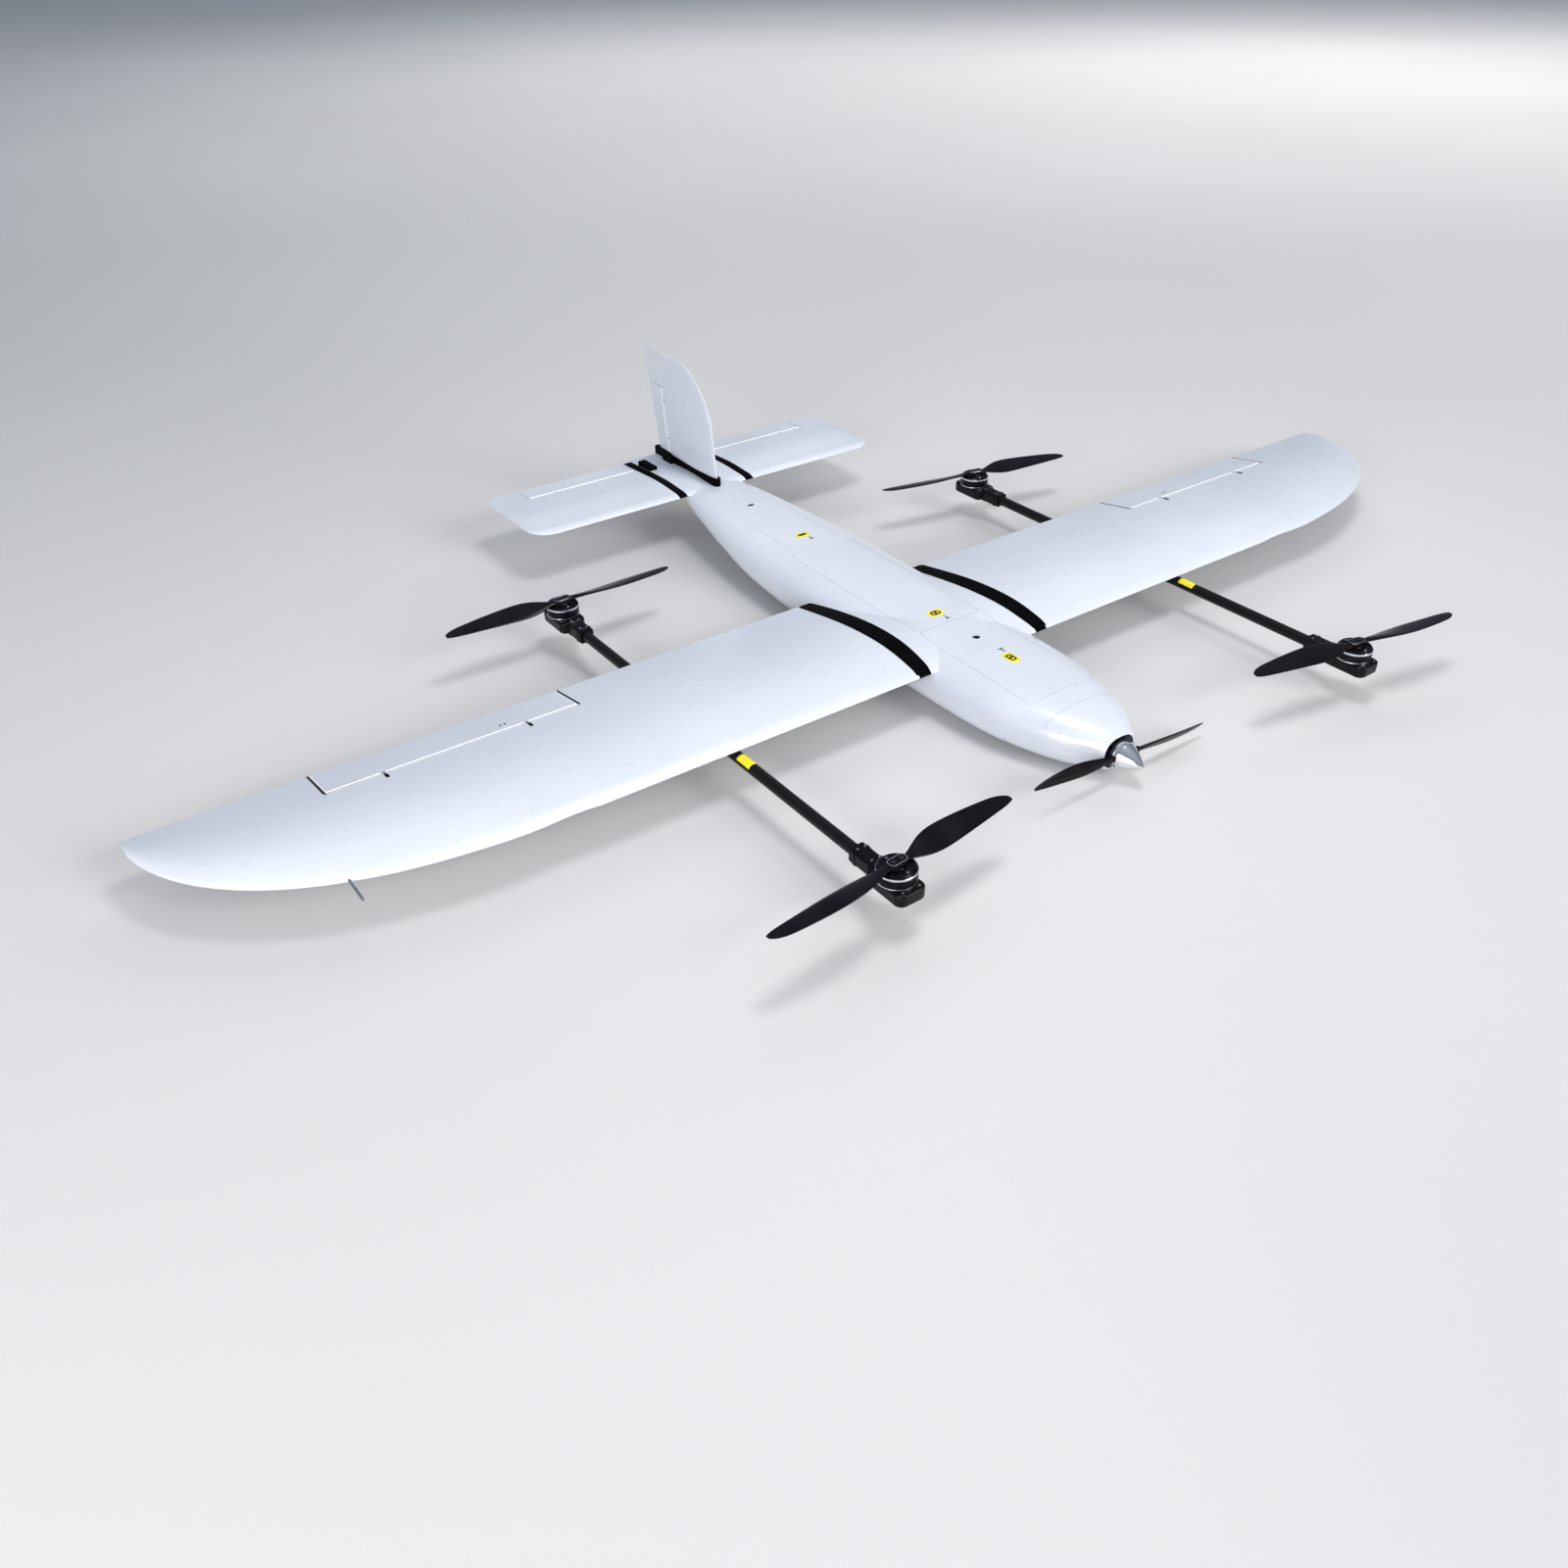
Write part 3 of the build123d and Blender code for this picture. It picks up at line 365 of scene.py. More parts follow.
def rounded_box_outline(width, length, radius, steps=6):
    """Rectangle with rounded corners, centred on the origin."""
    points = []
    for quarter, (sx, sy) in enumerate(((1, 1), (-1, 1), (-1, -1), (1, -1))):
        cx, cy = sx * (width / 2 - radius), sy * (length / 2 - radius)
        for i in range(steps + 1):
            turn = pi / 2 * (quarter + i / steps)
            points.append((cx + radius * cos(turn), cy + radius * sin(turn)))
    return points


def circle_outline(radius, steps=20):
    """Round outline centred on the origin."""
    return [(radius * cos(2 * pi * i / steps), radius * sin(2 * pi * i / steps)) for i in range(steps)]


def cap_screw(bm, place, radius, height):
    """Screw with a bevelled round head and a round recess."""
    socket = radius * 0.5
    floor_height = height * 0.35
    head = [(socket, floor_height), (socket, height), (radius * 0.86, height), (radius, height * 0.8),
            (radius, 0.0), (CENTRE_GAP, 0.0), (CENTRE_GAP, floor_height)]
    lathe(bm, head, place, 24)
    return bm


def mesh_tree(*names):
    """Ray tree of some CAD nodes together."""
    verts, faces = [], []
    for name in names:
        data = frame["nodes"][name].data
        base = len(verts)
        verts += [v.co.copy() for v in data.vertices]
        faces += [[base + i for i in polygon.vertices] for polygon in data.polygons]
    return BVHTree.FromPolygons(verts, faces)


def drape(tree, x, y, lift):
    """Point on the highest surface above (x, y), lifted off it a little."""
    hit, normal, _, _ = tree.ray_cast(Vector((x, y, 1.0)), Vector((0, 0, -1)))
    if hit is None:
        return None
    if normal.z < 0:
        normal = -normal
    return hit + normal * lift


def draped_patch(bm, tree, outline, centre, turn, lift, thick=0.00012, rows=1):
    """Thin patch laid over a curved surface, in rings that narrow towards its centre."""
    rings = []
    shares = [1.0] + [1 - (k + 1) / (rows + 1) for k in range(rows)]
    spin = Matrix.Rotation(turn, 2)
    for share in shares:
        ring = []
        for x, y in outline:
            flat = spin @ Vector((x * share, y * share))
            ring.append(bm.verts.new(drape(tree, centre[0] + flat.x, centre[1] + flat.y, lift + thick)))
        rings.append(ring)
    edge = []
    for x, y in outline:
        flat = spin @ Vector((x, y))
        edge.append(bm.verts.new(drape(tree, centre[0] + flat.x, centre[1] + flat.y, 0.00001)))
    middle = bm.verts.new(drape(tree, centre[0], centre[1], lift + thick))
    count = len(outline)
    for k in range(count):
        n = (k + 1) % count
        bm.faces.new((edge[k], edge[n], rings[0][n], rings[0][k]))
        for outside, inside in zip(rings, rings[1:]):
            bm.faces.new((outside[k], outside[n], inside[n], inside[k]))
        bm.faces.new((rings[-1][k], rings[-1][n], middle))
    return bm


# ---------------------------------------------------------------- lift units
def joint_point(name):
    """Where a joint's axis stands."""
    return Vector(JOINTS[name]["pos_m"])


def rest_turn(unit):
    """Angle of a lift propeller at rest, from its farthest point."""
    axis = joint_point(f"lift_rotor_{unit}_spin")
    far = max(frame["nodes"][f"lift_prop_{unit}"].data.vertices, key=lambda v: (v.co - axis).xy.length).co
    return atan2(far.y - axis.y, far.x - axis.x)


RING_LOW = 5.2 * MM
RING_HIGH = 2.2 * MM
HUB_PLATE = (26 * MM, 13.5 * MM, 5.5 * MM)
HUB_RIM = 0.9 * MM
HUB_SEARCH = 12 * MM


def dress_lift_unit(unit):
    """Bright rings, cap, hub plate and screws of one lift motor."""
    rotor = f"lift_rotor_{unit}"
    axis = joint_point(f"{rotor}_spin")
    low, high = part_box(f"motor_bell_{unit}")
    radius = (high.x - low.x) / 2
    hub_top = max(v.co.z for v in frame["nodes"][f"lift_prop_{unit}"].data.vertices
                  if (v.co - axis).xy.length < HUB_SEARCH)
    bell_top = max(v.co.z for v in frame["nodes"][f"motor_bell_{unit}"].data.vertices
                   if radius * 0.5 < (v.co - axis).xy.length)
    upright = Matrix.Translation((axis.x, axis.y, 0))

    bright = bmesh.new()
    out = radius + 0.35 * MM
    lathe(bright, [
        (radius - 0.2 * MM, bell_top - RING_LOW),
        (out, bell_top - RING_LOW),
        (out + 0.25 * MM, bell_top - RING_LOW + 0.5 * MM),
        (out, bell_top - RING_HIGH - 0.4 * MM),
        (radius - 1.2 * MM, bell_top - 1.0 * MM),
        (radius - 1.6 * MM, bell_top - 1.2 * MM),
    ], upright)
    add_piece(f"bell_bright_ring_{unit}", bright, TURNED, rotor)

    cap = bmesh.new()
    windows = 12
    for i in range(windows):
        turn = 2 * pi * i / windows
        place = Matrix.Translation((axis.x, axis.y, bell_top)) @ Matrix.Rotation(turn, 4, "Z")
        place = place @ Matrix.Translation((radius * 0.62, 0, 0))
        window = rounded_box_outline(radius * 0.34, radius * 0.16, radius * 0.07, 4)
        slab(cap, window, place, 0.7 * MM, 0.3 * MM)
    hub, edge = bell_top + 0.8 * MM, bell_top + 0.5 * MM
    lathe(cap, [(radius * 0.30, bell_top), (radius * 0.40, bell_top), (radius * 0.38, hub),
                (radius * 0.30, hub)], upright)
    lathe(cap, [(radius * 0.84, bell_top), (radius * 0.90, bell_top), (radius * 0.88, edge),
                (radius * 0.85, edge)], upright)
    add_piece(f"bell_cap_{unit}", cap, MOTOR_BLACK, rotor)

    grooves = bmesh.new()
    bell_low = bell_top - 15 * MM
    for k in range(3):
        level = bell_low + (2.0 + 2.4 * k) * MM
        lathe(grooves, [(radius - 0.1 * MM, level), (out, level + 0.25 * MM),
                        (out, level + 1.25 * MM), (radius - 0.1 * MM, level + 1.5 * MM)], upright)
    add_piece(f"bell_ribs_{unit}", grooves, MOTOR_BLACK, rotor)

    base = bmesh.new()
    base_level = bell_low - 1.4 * MM
    lathe(base, [(radius - 0.2 * MM, base_level - 0.8 * MM), (radius + 0.5 * MM, base_level - 0.7 * MM),
                 (radius + 0.65 * MM, base_level), (radius + 0.5 * MM, base_level + 0.5 * MM),
                 (radius - 0.2 * MM, base_level + 0.6 * MM)], upright)
    add_piece(f"motor_base_ring_{unit}", base, TURNED, "airframe")

    turn = rest_turn(unit)
    top = Matrix.Translation((axis.x, axis.y, hub_top)) @ Matrix.Rotation(turn, 4, "Z")
    width, depth, corner = HUB_PLATE
    rim = bmesh.new()
    outer = rounded_box_outline(width, depth, corner)
    inner = rounded_box_outline(width - 2 * HUB_RIM, depth - 2 * HUB_RIM, corner - HUB_RIM)
    rows = [(outer, 0.0), (outer, 0.9 * MM), (inner, 0.9 * MM), (inner, 0.0)]
    loops = [[rim.verts.new(top @ Vector((x, y, h))) for x, y in points] for points, h in rows]
    join_loops(rim, loops)
    add_piece(f"hub_rim_{unit}", rim, TURNED, rotor)
    plate = bmesh.new()
    slab(plate, inner, top, 0.5 * MM)
    add_piece(f"hub_plate_{unit}", plate, PROP_BLACK, rotor)
    screws = bmesh.new()
    for sign in (-1, 1):
        cap_screw(screws, top @ Matrix.Translation((sign * 6.2 * MM, 0, 0.5 * MM)), 2.5 * MM, 1.1 * MM)
    add_piece(f"hub_screws_{unit}", screws, SCREW_BLACK, rotor)
    bell_screws = bmesh.new()
    for i in range(2):
        spin = Matrix.Rotation(turn + pi / 2 + pi * i, 4, "Z")
        place = Matrix.Translation((axis.x, axis.y, bell_top)) @ spin
        cap_screw(bell_screws, place @ Matrix.Translation((radius * 0.72, 0, 0)), 1.7 * MM, 0.9 * MM)
    add_piece(f"bell_screws_{unit}", bell_screws, TURNED, rotor)


def dress_nacelle(unit):
    """Clamp bands round the neck and screws of one nacelle."""
    low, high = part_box(f"nacelle_{unit}")
    axis = joint_point(f"lift_rotor_{unit}_spin")
    away = 1 if unit.startswith("rear") else -1
    outer_end = high.y if away > 0 else low.y
    wing_end = low.y if away > 0 else high.y
    neck = [v.co for v in frame["nodes"][f"nacelle_{unit}"].data.vertices
            if abs(v.co.y - wing_end) < 1 * MM]
    neck_low, neck_high = min(p.z for p in neck), max(p.z for p in neck)
    neck_half = max(abs(p.x - axis.x) for p in neck)
    middle_z = (neck_low + neck_high) / 2
    size = (2 * neck_half, neck_high - neck_low)
    bands = [wing_end + (axis.y - wing_end) * share for share in (0.12, 0.48)]

    clamp = bmesh.new()
    for y in bands:
        outline = rounded_box_outline(size[0] + 1.6 * MM, size[1] + 1.6 * MM, 5.5 * MM, 5)
        hole = rounded_box_outline(size[0] - 0.4 * MM, size[1] - 0.4 * MM, 4.8 * MM, 5)
        place = Matrix.Translation((axis.x, y, middle_z)) @ Matrix.Rotation(pi / 2, 4, "X")
        half = 2.6 * MM
        rows = [(hole, -half), (outline, -half + 0.4 * MM), (outline, half - 0.4 * MM), (hole, half)]
        loops = [[clamp.verts.new(place @ Vector((x, z, h))) for x, z in points] for points, h in rows]
        join_loops(clamp, loops)
    add_piece(f"clamp_bands_{unit}", clamp, NACELLE_BLACK, "airframe")

    screws = bmesh.new()
    for y in bands:
        for sign in (-1, 1):
            place = Matrix.Translation((axis.x + sign * 5.5 * MM, y, neck_high + 0.6 * MM))
            cap_screw(screws, place, 1.5 * MM, 1.0 * MM)
    quarter = (high.x - low.x) / 4
    for sign in (-1, 1):
        place = Matrix.Translation((axis.x + sign * quarter, outer_end - away * 6.5 * MM, high.z - 2.2 * MM))
        cap_screw(screws, place, 1.5 * MM, 0.8 * MM)
    add_piece(f"nacelle_screws_{unit}", screws, STEEL, "airframe")


def boom_label(side):
    """Yellow label wrapped over the top of a boom, just ahead of the wing."""
    low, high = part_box(f"boom_{side}")
    centre_x, centre_z, radius = (low.x + high.x) / 2, (low.z + high.z) / 2, (high.x - low.x) / 2
    wing_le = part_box(f"wing_{side}")[0].y
    reach, steps = radians(68), 20
    start, end = wing_le - 27 * MM, wing_le + 1 * MM
    bm = bmesh.new()
    rows = []
    for k in range(9):
        y = start + (end - start) * k / 8
        row = []
        for i in range(steps + 1):
            turn = -reach + 2 * reach * i / steps
            r = radius + 0.15 * MM
            row.append(bm.verts.new((centre_x + r * sin(turn), y, centre_z + r * cos(turn))))
        rows.append(row)
    for a, b in zip(rows, rows[1:]):
        for i in range(steps):
            bm.faces.new((a[i], a[i + 1], b[i + 1], b[i]))
    piece = add_piece(f"boom_label_{side}", bm, YELLOW, "airframe")
    solid = piece.modifiers.new("thickness", "SOLIDIFY")
    solid.thickness = 0.12 * MM
    solid.offset = -1
    return piece


# ---------------------------------------------------------------- fuselage details
# Each hatch label: its place along Y, its width across and its length along.
LABELS = {
    "front": (-0.339, 17 * MM, 26 * MM),
    "mid": (-0.180, 25 * MM, 17 * MM),
    "rear": (0.150, 24 * MM, 15 * MM),
}
LABEL_X = -1 * MM
PRINT_LIFT = 0.2 * MM
ARROW_WIDTH = 1.4 * MM
ARROW_CORNER = 0.6 * MM
ARROW_LIFT = 0.1 * MM
BARB_TURN = radians(42)


def ring_patch(bm, tree, width, length, line, corner, centre, lift):
    """Printed outline of a rounded rectangle, draped over a surface."""
    rings = []
    for inset in (0, line / 2, line):
        radius = max(corner - inset, 0.3 * MM)
        outline = rounded_box_outline(width - 2 * inset, length - 2 * inset, radius)
        rings.append([bm.verts.new(drape(tree, centre[0] + px, centre[1] + py, lift))
                      for px, py in outline])
    count = len(rings[0])
    for a, b in zip(rings, rings[1:]):
        for k in range(count):
            n = (k + 1) % count
            bm.faces.new((a[k], a[n], b[n], b[k]))


def hatch_label(hatch):
    """Yellow sticker with a plain black pictogram on a hatch, and an arrow beside it."""
    tree = mesh_tree(f"{hatch}_hatch", "fuselage_shell")
    y, width, length = LABELS[hatch]
    body = f"{hatch}_hatch"
    centre = (LABEL_X, y)
    sticker = bmesh.new()
    draped_patch(sticker, tree, rounded_box_outline(width, length, 4 * MM), centre, 0, 0.06 * MM, rows=4)
    add_piece(f"{hatch}_label", sticker, YELLOW, body)
    sign = bmesh.new()
    if hatch == "rear":
        bar = rounded_box_outline(16 * MM, 6 * MM, 2.4 * MM)
        draped_patch(sign, tree, bar, centre, 0, PRINT_LIFT, rows=3)
    else:
        ring_lift = PRINT_LIFT + 0.1 * MM
        ring_patch(sign, tree, width * 0.66, length * 0.66, 2.9 * MM, 4 * MM, centre, ring_lift)
        draped_patch(sign, tree, circle_outline(2.6 * MM), centre, 0, PRINT_LIFT, rows=2)
    add_piece(f"{hatch}_pictogram", sign, PRINT_BLACK, body)
    arrow = bmesh.new()
    way = 1 if hatch == "front" else -1
    base = y + way * (length / 2 + 9 * MM)
    stem_x = LABEL_X + 5 * MM
    stem = rounded_box_outline(ARROW_WIDTH, 11 * MM, ARROW_CORNER)
    draped_patch(arrow, tree, stem, (stem_x, base), 0, ARROW_LIFT, rows=3)
    barb = rounded_box_outline(ARROW_WIDTH, 7 * MM, ARROW_CORNER)
    for turn in (BARB_TURN, -BARB_TURN):
        barb_centre = (stem_x - way * sin(turn) * 2.6 * MM, base + way * 3.6 * MM)
        draped_patch(arrow, tree, barb, barb_centre, turn, ARROW_LIFT, rows=2)
    add_piece(f"{hatch}_arrow", arrow, PRINT_BLACK, body)


def cross_seam(name, y, half, width=0.9 * MM, nodes=("fuselage_shell", "front_hatch"), body="airframe"):
    """Narrow seam laid across the top of the fuselage at a station."""
    tree = mesh_tree(*nodes)
    bm = bmesh.new()
    steps = 60
    before = None
    for i in range(steps + 1):
        x = -half + 2 * half * i / steps
        pair = [bm.verts.new(drape(tree, x, y + sign * width / 2, 0.00012)) for sign in (-1, 1)]
        if before:
            bm.faces.new((before[0], pair[0], pair[1], before[1]))
        before = pair
    return add_piece(name, bm, SEAM, body)


def horn_screws(side):
    """Two small screw heads that hold a control horn, on top of the aileron."""
    horn_low, horn_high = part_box(f"control_horn_{side}")
    tree = mesh_tree(f"aileron_{side}")
    bm = bmesh.new()
    x = (horn_low.x + horn_high.x) / 2
    for sign in (-1, 1):
        top = drape(tree, x + sign * 3.2 * MM, horn_high.y - 9 * MM, -0.0001)
        cap_screw(bm, Matrix.Translation(top), 1.5 * MM, 0.7 * MM)
    add_piece(f"horn_screws_{side}", bm, SCREW_BLACK, f"aileron_{side}")


def bead(name, points, body, material, radius):
    """Fine raised bead through a row of points."""
    curve = bpy.data.curves.new(name, "CURVE")
    curve.dimensions = "3D"
    curve.bevel_depth = radius
    curve.bevel_resolution = 3
    curve.use_fill_caps = True
    spline = curve.splines.new("POLY")
    spline.points.add(len(points) - 1)
    for slot, point in zip(spline.points, points):
        slot.co = (*point, 1)
    piece = bpy.data.objects.new(name, curve)
    bpy.context.collection.objects.link(piece)
    curve.materials.append(material)
    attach(piece, body)
    return piece


# These strips are painted light: bright ones paint the hinge highlights, black ones paint the shade in the
# aileron end gaps.
def painted_light_strip(name, hits, body, width, material=None, height=0.45 * MM, sink=0.2 * MM):
    """Low rounded strip that follows a row of (point, normal) places on a surface."""
    section = [(-0.5, 0.0), (-0.4, 0.8), (-0.15, 1.0), (0.15, 1.0), (0.4, 0.8), (0.5, 0.0)]
    bm = bmesh.new()
    rings = []
    for k, (point, normal) in enumerate(hits):
        before, after = hits[max(0, k - 1)][0], hits[min(len(hits) - 1, k + 1)][0]
        across = (after - before).cross(normal).normalized()
        rings.append([bm.verts.new(point + across * u * width + normal * (v * height - sink * (v == 0)))
                      for u, v in section])
    count = len(section)
    for a, b in zip(rings, rings[1:]):
        for k in range(count):
            n = (k + 1) % count
            bm.faces.new((a[k], a[n], b[n], b[k]))
    bm.faces.new(rings[0][::-1])
    bm.faces.new(rings[-1])
    return add_piece(name, bm, material or PAINTED_HIGHLIGHT, body)


def level_row(hits):
    """Even out a row of surface places where it crosses a slot."""
    row = []
    for k, (point, normal) in enumerate(hits):
        near = sorted(p.z for p, _ in hits[max(0, k - 3):k + 4])
        usual = near[len(near) // 2]
        if abs(point.z - usual) > 0.5 * MM:
            point = Vector((point.x, point.y, usual))
            normal = row[-1][1] if row else normal
        row.append((point, normal))
    return row


def draped_painted_strip(name, node, body, start, end, width, count=60, material=None):
    """Strip along the top of a piece between two places in plan."""
    tree = mesh_tree(node)
    hits = []
    for i in range(count + 1):
        at = start.lerp(end, i / count)
        hit, normal, _, _ = tree.ray_cast(Vector((at.x, at.y, 1.0)), Vector((0, 0, -1)))
        if hit is not None and normal.z > 0.5:
            hits.append((hit, normal))
    return painted_light_strip(name, level_row(hits), body, width, material)


LIP_REACH = 7.5 * MM
LIP_OVERLAP = 2.5 * MM
LIP_LIFT = 0.2 * MM
LIP_INSET = 3 * MM


def rib_lip(side, rows=48, columns=12):
    """Black seal over the root rib, broadest over the fairing at mid chord."""
    sign = SIDES[side]
    low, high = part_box(f"root_rib_{side}")
    tree = mesh_tree("fuselage_shell", f"root_rib_{side}", f"wing_{side}")
    edge, outer = sorted((abs(low.x), abs(high.x)))
    outer += LIP_OVERLAP
    start, end = low.y + LIP_INSET, high.y - LIP_INSET
    bm = bmesh.new()
    before = None
    for i in range(rows + 1):
        share = i / rows
        bulge = sin(pi * share) ** 0.6 if 0 < share < 1 else 0.0
        inner = edge - LIP_REACH * bulge
        y = start + share * (end - start)
        row = []
        for k in range(columns + 1):
            x = inner + (outer - inner) * k / columns
            row.append(bm.verts.new(drape(tree, sign * x, y, LIP_LIFT)))
        if before:
            for k in range(columns):
                bm.faces.new((before[k], before[k + 1], row[k + 1], row[k]))
        before = row
    add_piece(f"rib_lip_{side}", bm, RIB_BLACK, "airframe")


def end_gaps(side):
    """Black strips on the wing, just outside the two ends of the aileron: painted shade where the end gaps
    are.
    """
    low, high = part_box(f"aileron_{side}")
    front_y = JOINTS[f"aileron_{side}_hinge"]["pos_m"][1] + 2 * MM
    for k, x in enumerate((low.x - 2.2 * MM, high.x + 2.2 * MM)):
        run = (Vector((x, front_y, 0)), Vector((x, high.y - 3 * MM, 0)))
        # Painted shade: black strips over the gaps at the aileron's ends.
        draped_painted_strip(f"painted_end_shade_{side}_{k}", f"wing_{side}", "airframe", *run, 2.6 * MM, 30, RIB_BLACK)


def lug_places(side):
    """Middles across of the aileron's hinge lugs on one side, from the lugs' own mesh."""
    sign = SIDES[side]
    low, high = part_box(f"aileron_{side}")
    spots = sorted({round(v.co.x, 4) for v in frame["nodes"]["hinge_lugs"].data.vertices
                    if low.x < v.co.x < high.x and sign * v.co.x > 0})
    groups = [[spots[0]]]
    for x in spots[1:]:
        if x - groups[-1][-1] > 20 * MM:
            groups.append([])
        groups[-1].append(x)
    return [(group[0] + group[-1]) / 2 for group in groups]


def lug_covers(side):
    """Black covers over the aileron's hinge lugs, with a bevelled edge."""
    tree = mesh_tree(f"wing_{side}")
    hinge_y = JOINTS[f"aileron_{side}_hinge"]["pos_m"][1]
    bm = bmesh.new()
    for x in lug_places(side):
        front = drape(tree, x, hinge_y - 12 * MM, 0)
        back = drape(tree, x, hinge_y - 4 * MM, 0)
        slope = (back - front).normalized()
        upward = Vector((1, 0, 0)).cross(slope).normalized()
        turn = Matrix((Vector((1, 0, 0)), slope, upward)).transposed().to_4x4()
        place = Matrix.Translation((front + back) / 2 - upward * 0.2 * MM) @ turn
        slab(bm, rounded_box_outline(4.2 * MM, 11 * MM, 1.4 * MM), place, 0.9 * MM, 0.3 * MM)
    add_piece(f"lug_covers_{side}", bm, RIB_BLACK, "airframe")


def painted_rudder_highlight(side, sign):
    """Bright strip beside the rudder's leaning hinge line: a painted highlight."""
    tree = mesh_tree("rudder")
    low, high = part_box("rudder")
    axis = Vector(JOINTS["rudder_hinge"]["axis"]).normalized()
    foot = Vector(JOINTS["rudder_hinge"]["pos_m"])
    rows = 40
    hits = []
    for i in range(rows + 1):
        z = low.z + 3 * MM + (high.z - low.z - 6 * MM) * i / rows
        at = foot + axis * ((z - foot.z) / axis.z)
        hit, normal, _, _ = tree.ray_cast(Vector((sign * 0.1, at.y + 5.0 * MM, z)), Vector((-sign, 0, 0)))
        if hit is not None and normal.x * sign > 0.5:
            hits.append((hit, normal))
    # Painted highlight strip along the rudder hinge.
    painted_light_strip(f"painted_rudder_highlight_{side}", hits, "rudder", 3.4 * MM)


# Widths and setbacks of the bright strips that paint the highlight along the hinges.
HINGE_HIGHLIGHT_WIDTH = {"aileron": 3.6 * MM, "elevator": 3.4 * MM}
HINGE_HIGHLIGHT_SETBACK = {"aileron": 6.2 * MM, "elevator": 4.6 * MM}
END_HIGHLIGHT_WIDTH = 1.8 * MM
LUG_MARGIN = 4 * MM


def painted_hinge_strips(side):
    """Painted highlight strips along the hinges of an aileron and an elevator half, broken at the lugs, and
    along the aileron's ends.
    """
    for part, body in (("aileron", f"aileron_{side}"), ("elevator", "elevators")):
        node = f"{part}_{side}"
        low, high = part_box(node)
        hinge = JOINTS[f"aileron_{side}_hinge" if part == "aileron" else "elevator_hinge"]
        line = hinge["pos_m"][1] + HINGE_HIGHLIGHT_SETBACK[part]
        corners = [Vector((low.x + 1 * MM, line, 0)), Vector((high.x - 1 * MM, line, 0))]
        stops = sorted(lug_places(side)) if part == "aileron" else []
        starts = [corners[0].x, *(x + LUG_MARGIN for x in stops)]
        ends = [*(x - LUG_MARGIN for x in stops), corners[1].x]
        for k, (start_x, end_x) in enumerate(zip(starts, ends)):
            run = (Vector((start_x, line, 0)), Vector((end_x, line, 0)))
            # Painted highlight along the hinge line.
            draped_painted_strip(f"{part}_tape_{side}_{k}", node, body, *run, HINGE_HIGHLIGHT_WIDTH[part])
        if part == "aileron":
            for k, corner in enumerate(corners):
                front = Vector((corner.x, corner.y + HINGE_HIGHLIGHT_WIDTH[part] / 2, 0))
                back = Vector((corner.x, high.y - 4 * MM, 0))
                # Painted highlight where the aileron's end gaps show a lit wall.
                draped_painted_strip(f"{part}_end_tape_{side}_{k}", node, body, front, back, END_HIGHLIGHT_WIDTH, 30)


def vent_shade_insert():
    """Black louvre set in the slot behind the rear hatch; its black is painted shade that makes the slot read
    dark.
    """
    tree = mesh_tree("fuselage_shell")
    centre_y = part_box("rear_hatch")[1].y + 36 * MM
    rim = drape(tree, 0, centre_y + 7 * MM, 0)
    place = Matrix.Translation((0, centre_y, rim.z - 1.7 * MM))
    bm = bmesh.new()
    slab(bm, rounded_box_outline(12.4 * MM, 7.6 * MM, 3.7 * MM, 8), place, 0.7 * MM, 0.2 * MM)
    for k in range(3):
        spot = Matrix.Translation((0, (k - 1) * 2.1 * MM, 0.6 * MM))
        bar = place @ spot @ Matrix.Rotation(radians(18), 4, "X")
        slab(bm, rounded_box_outline(9.5 * MM, 0.9 * MM, 0.4 * MM, 4), bar, 0.7 * MM, 0.15 * MM)
    # Painted shade: the black insert darkens the vent slot.
    add_piece("vent_shade_insert", bm, RIB_BLACK, "airframe")


def band_round(bm, x, y, z, thick, bevel):
    """Closed band round a box: the limits are those of the box it wraps."""
    loops = []
    middle_x, middle_z = (x[0] + x[1]) / 2, (z[0] + z[1]) / 2
    for grow, side in ((0, y[0]), (thick, y[0] + bevel), (thick, y[1] - bevel), (0, y[1])):
        outline = rounded_box_outline(x[1] - x[0] + 2 * grow, z[1] - z[0] + 2 * grow, 4 * MM + grow, 6)
        loops.append([bm.verts.new((middle_x + px, side, middle_z + pz)) for px, pz in outline])
    join_loops(bm, loops)
    return bm


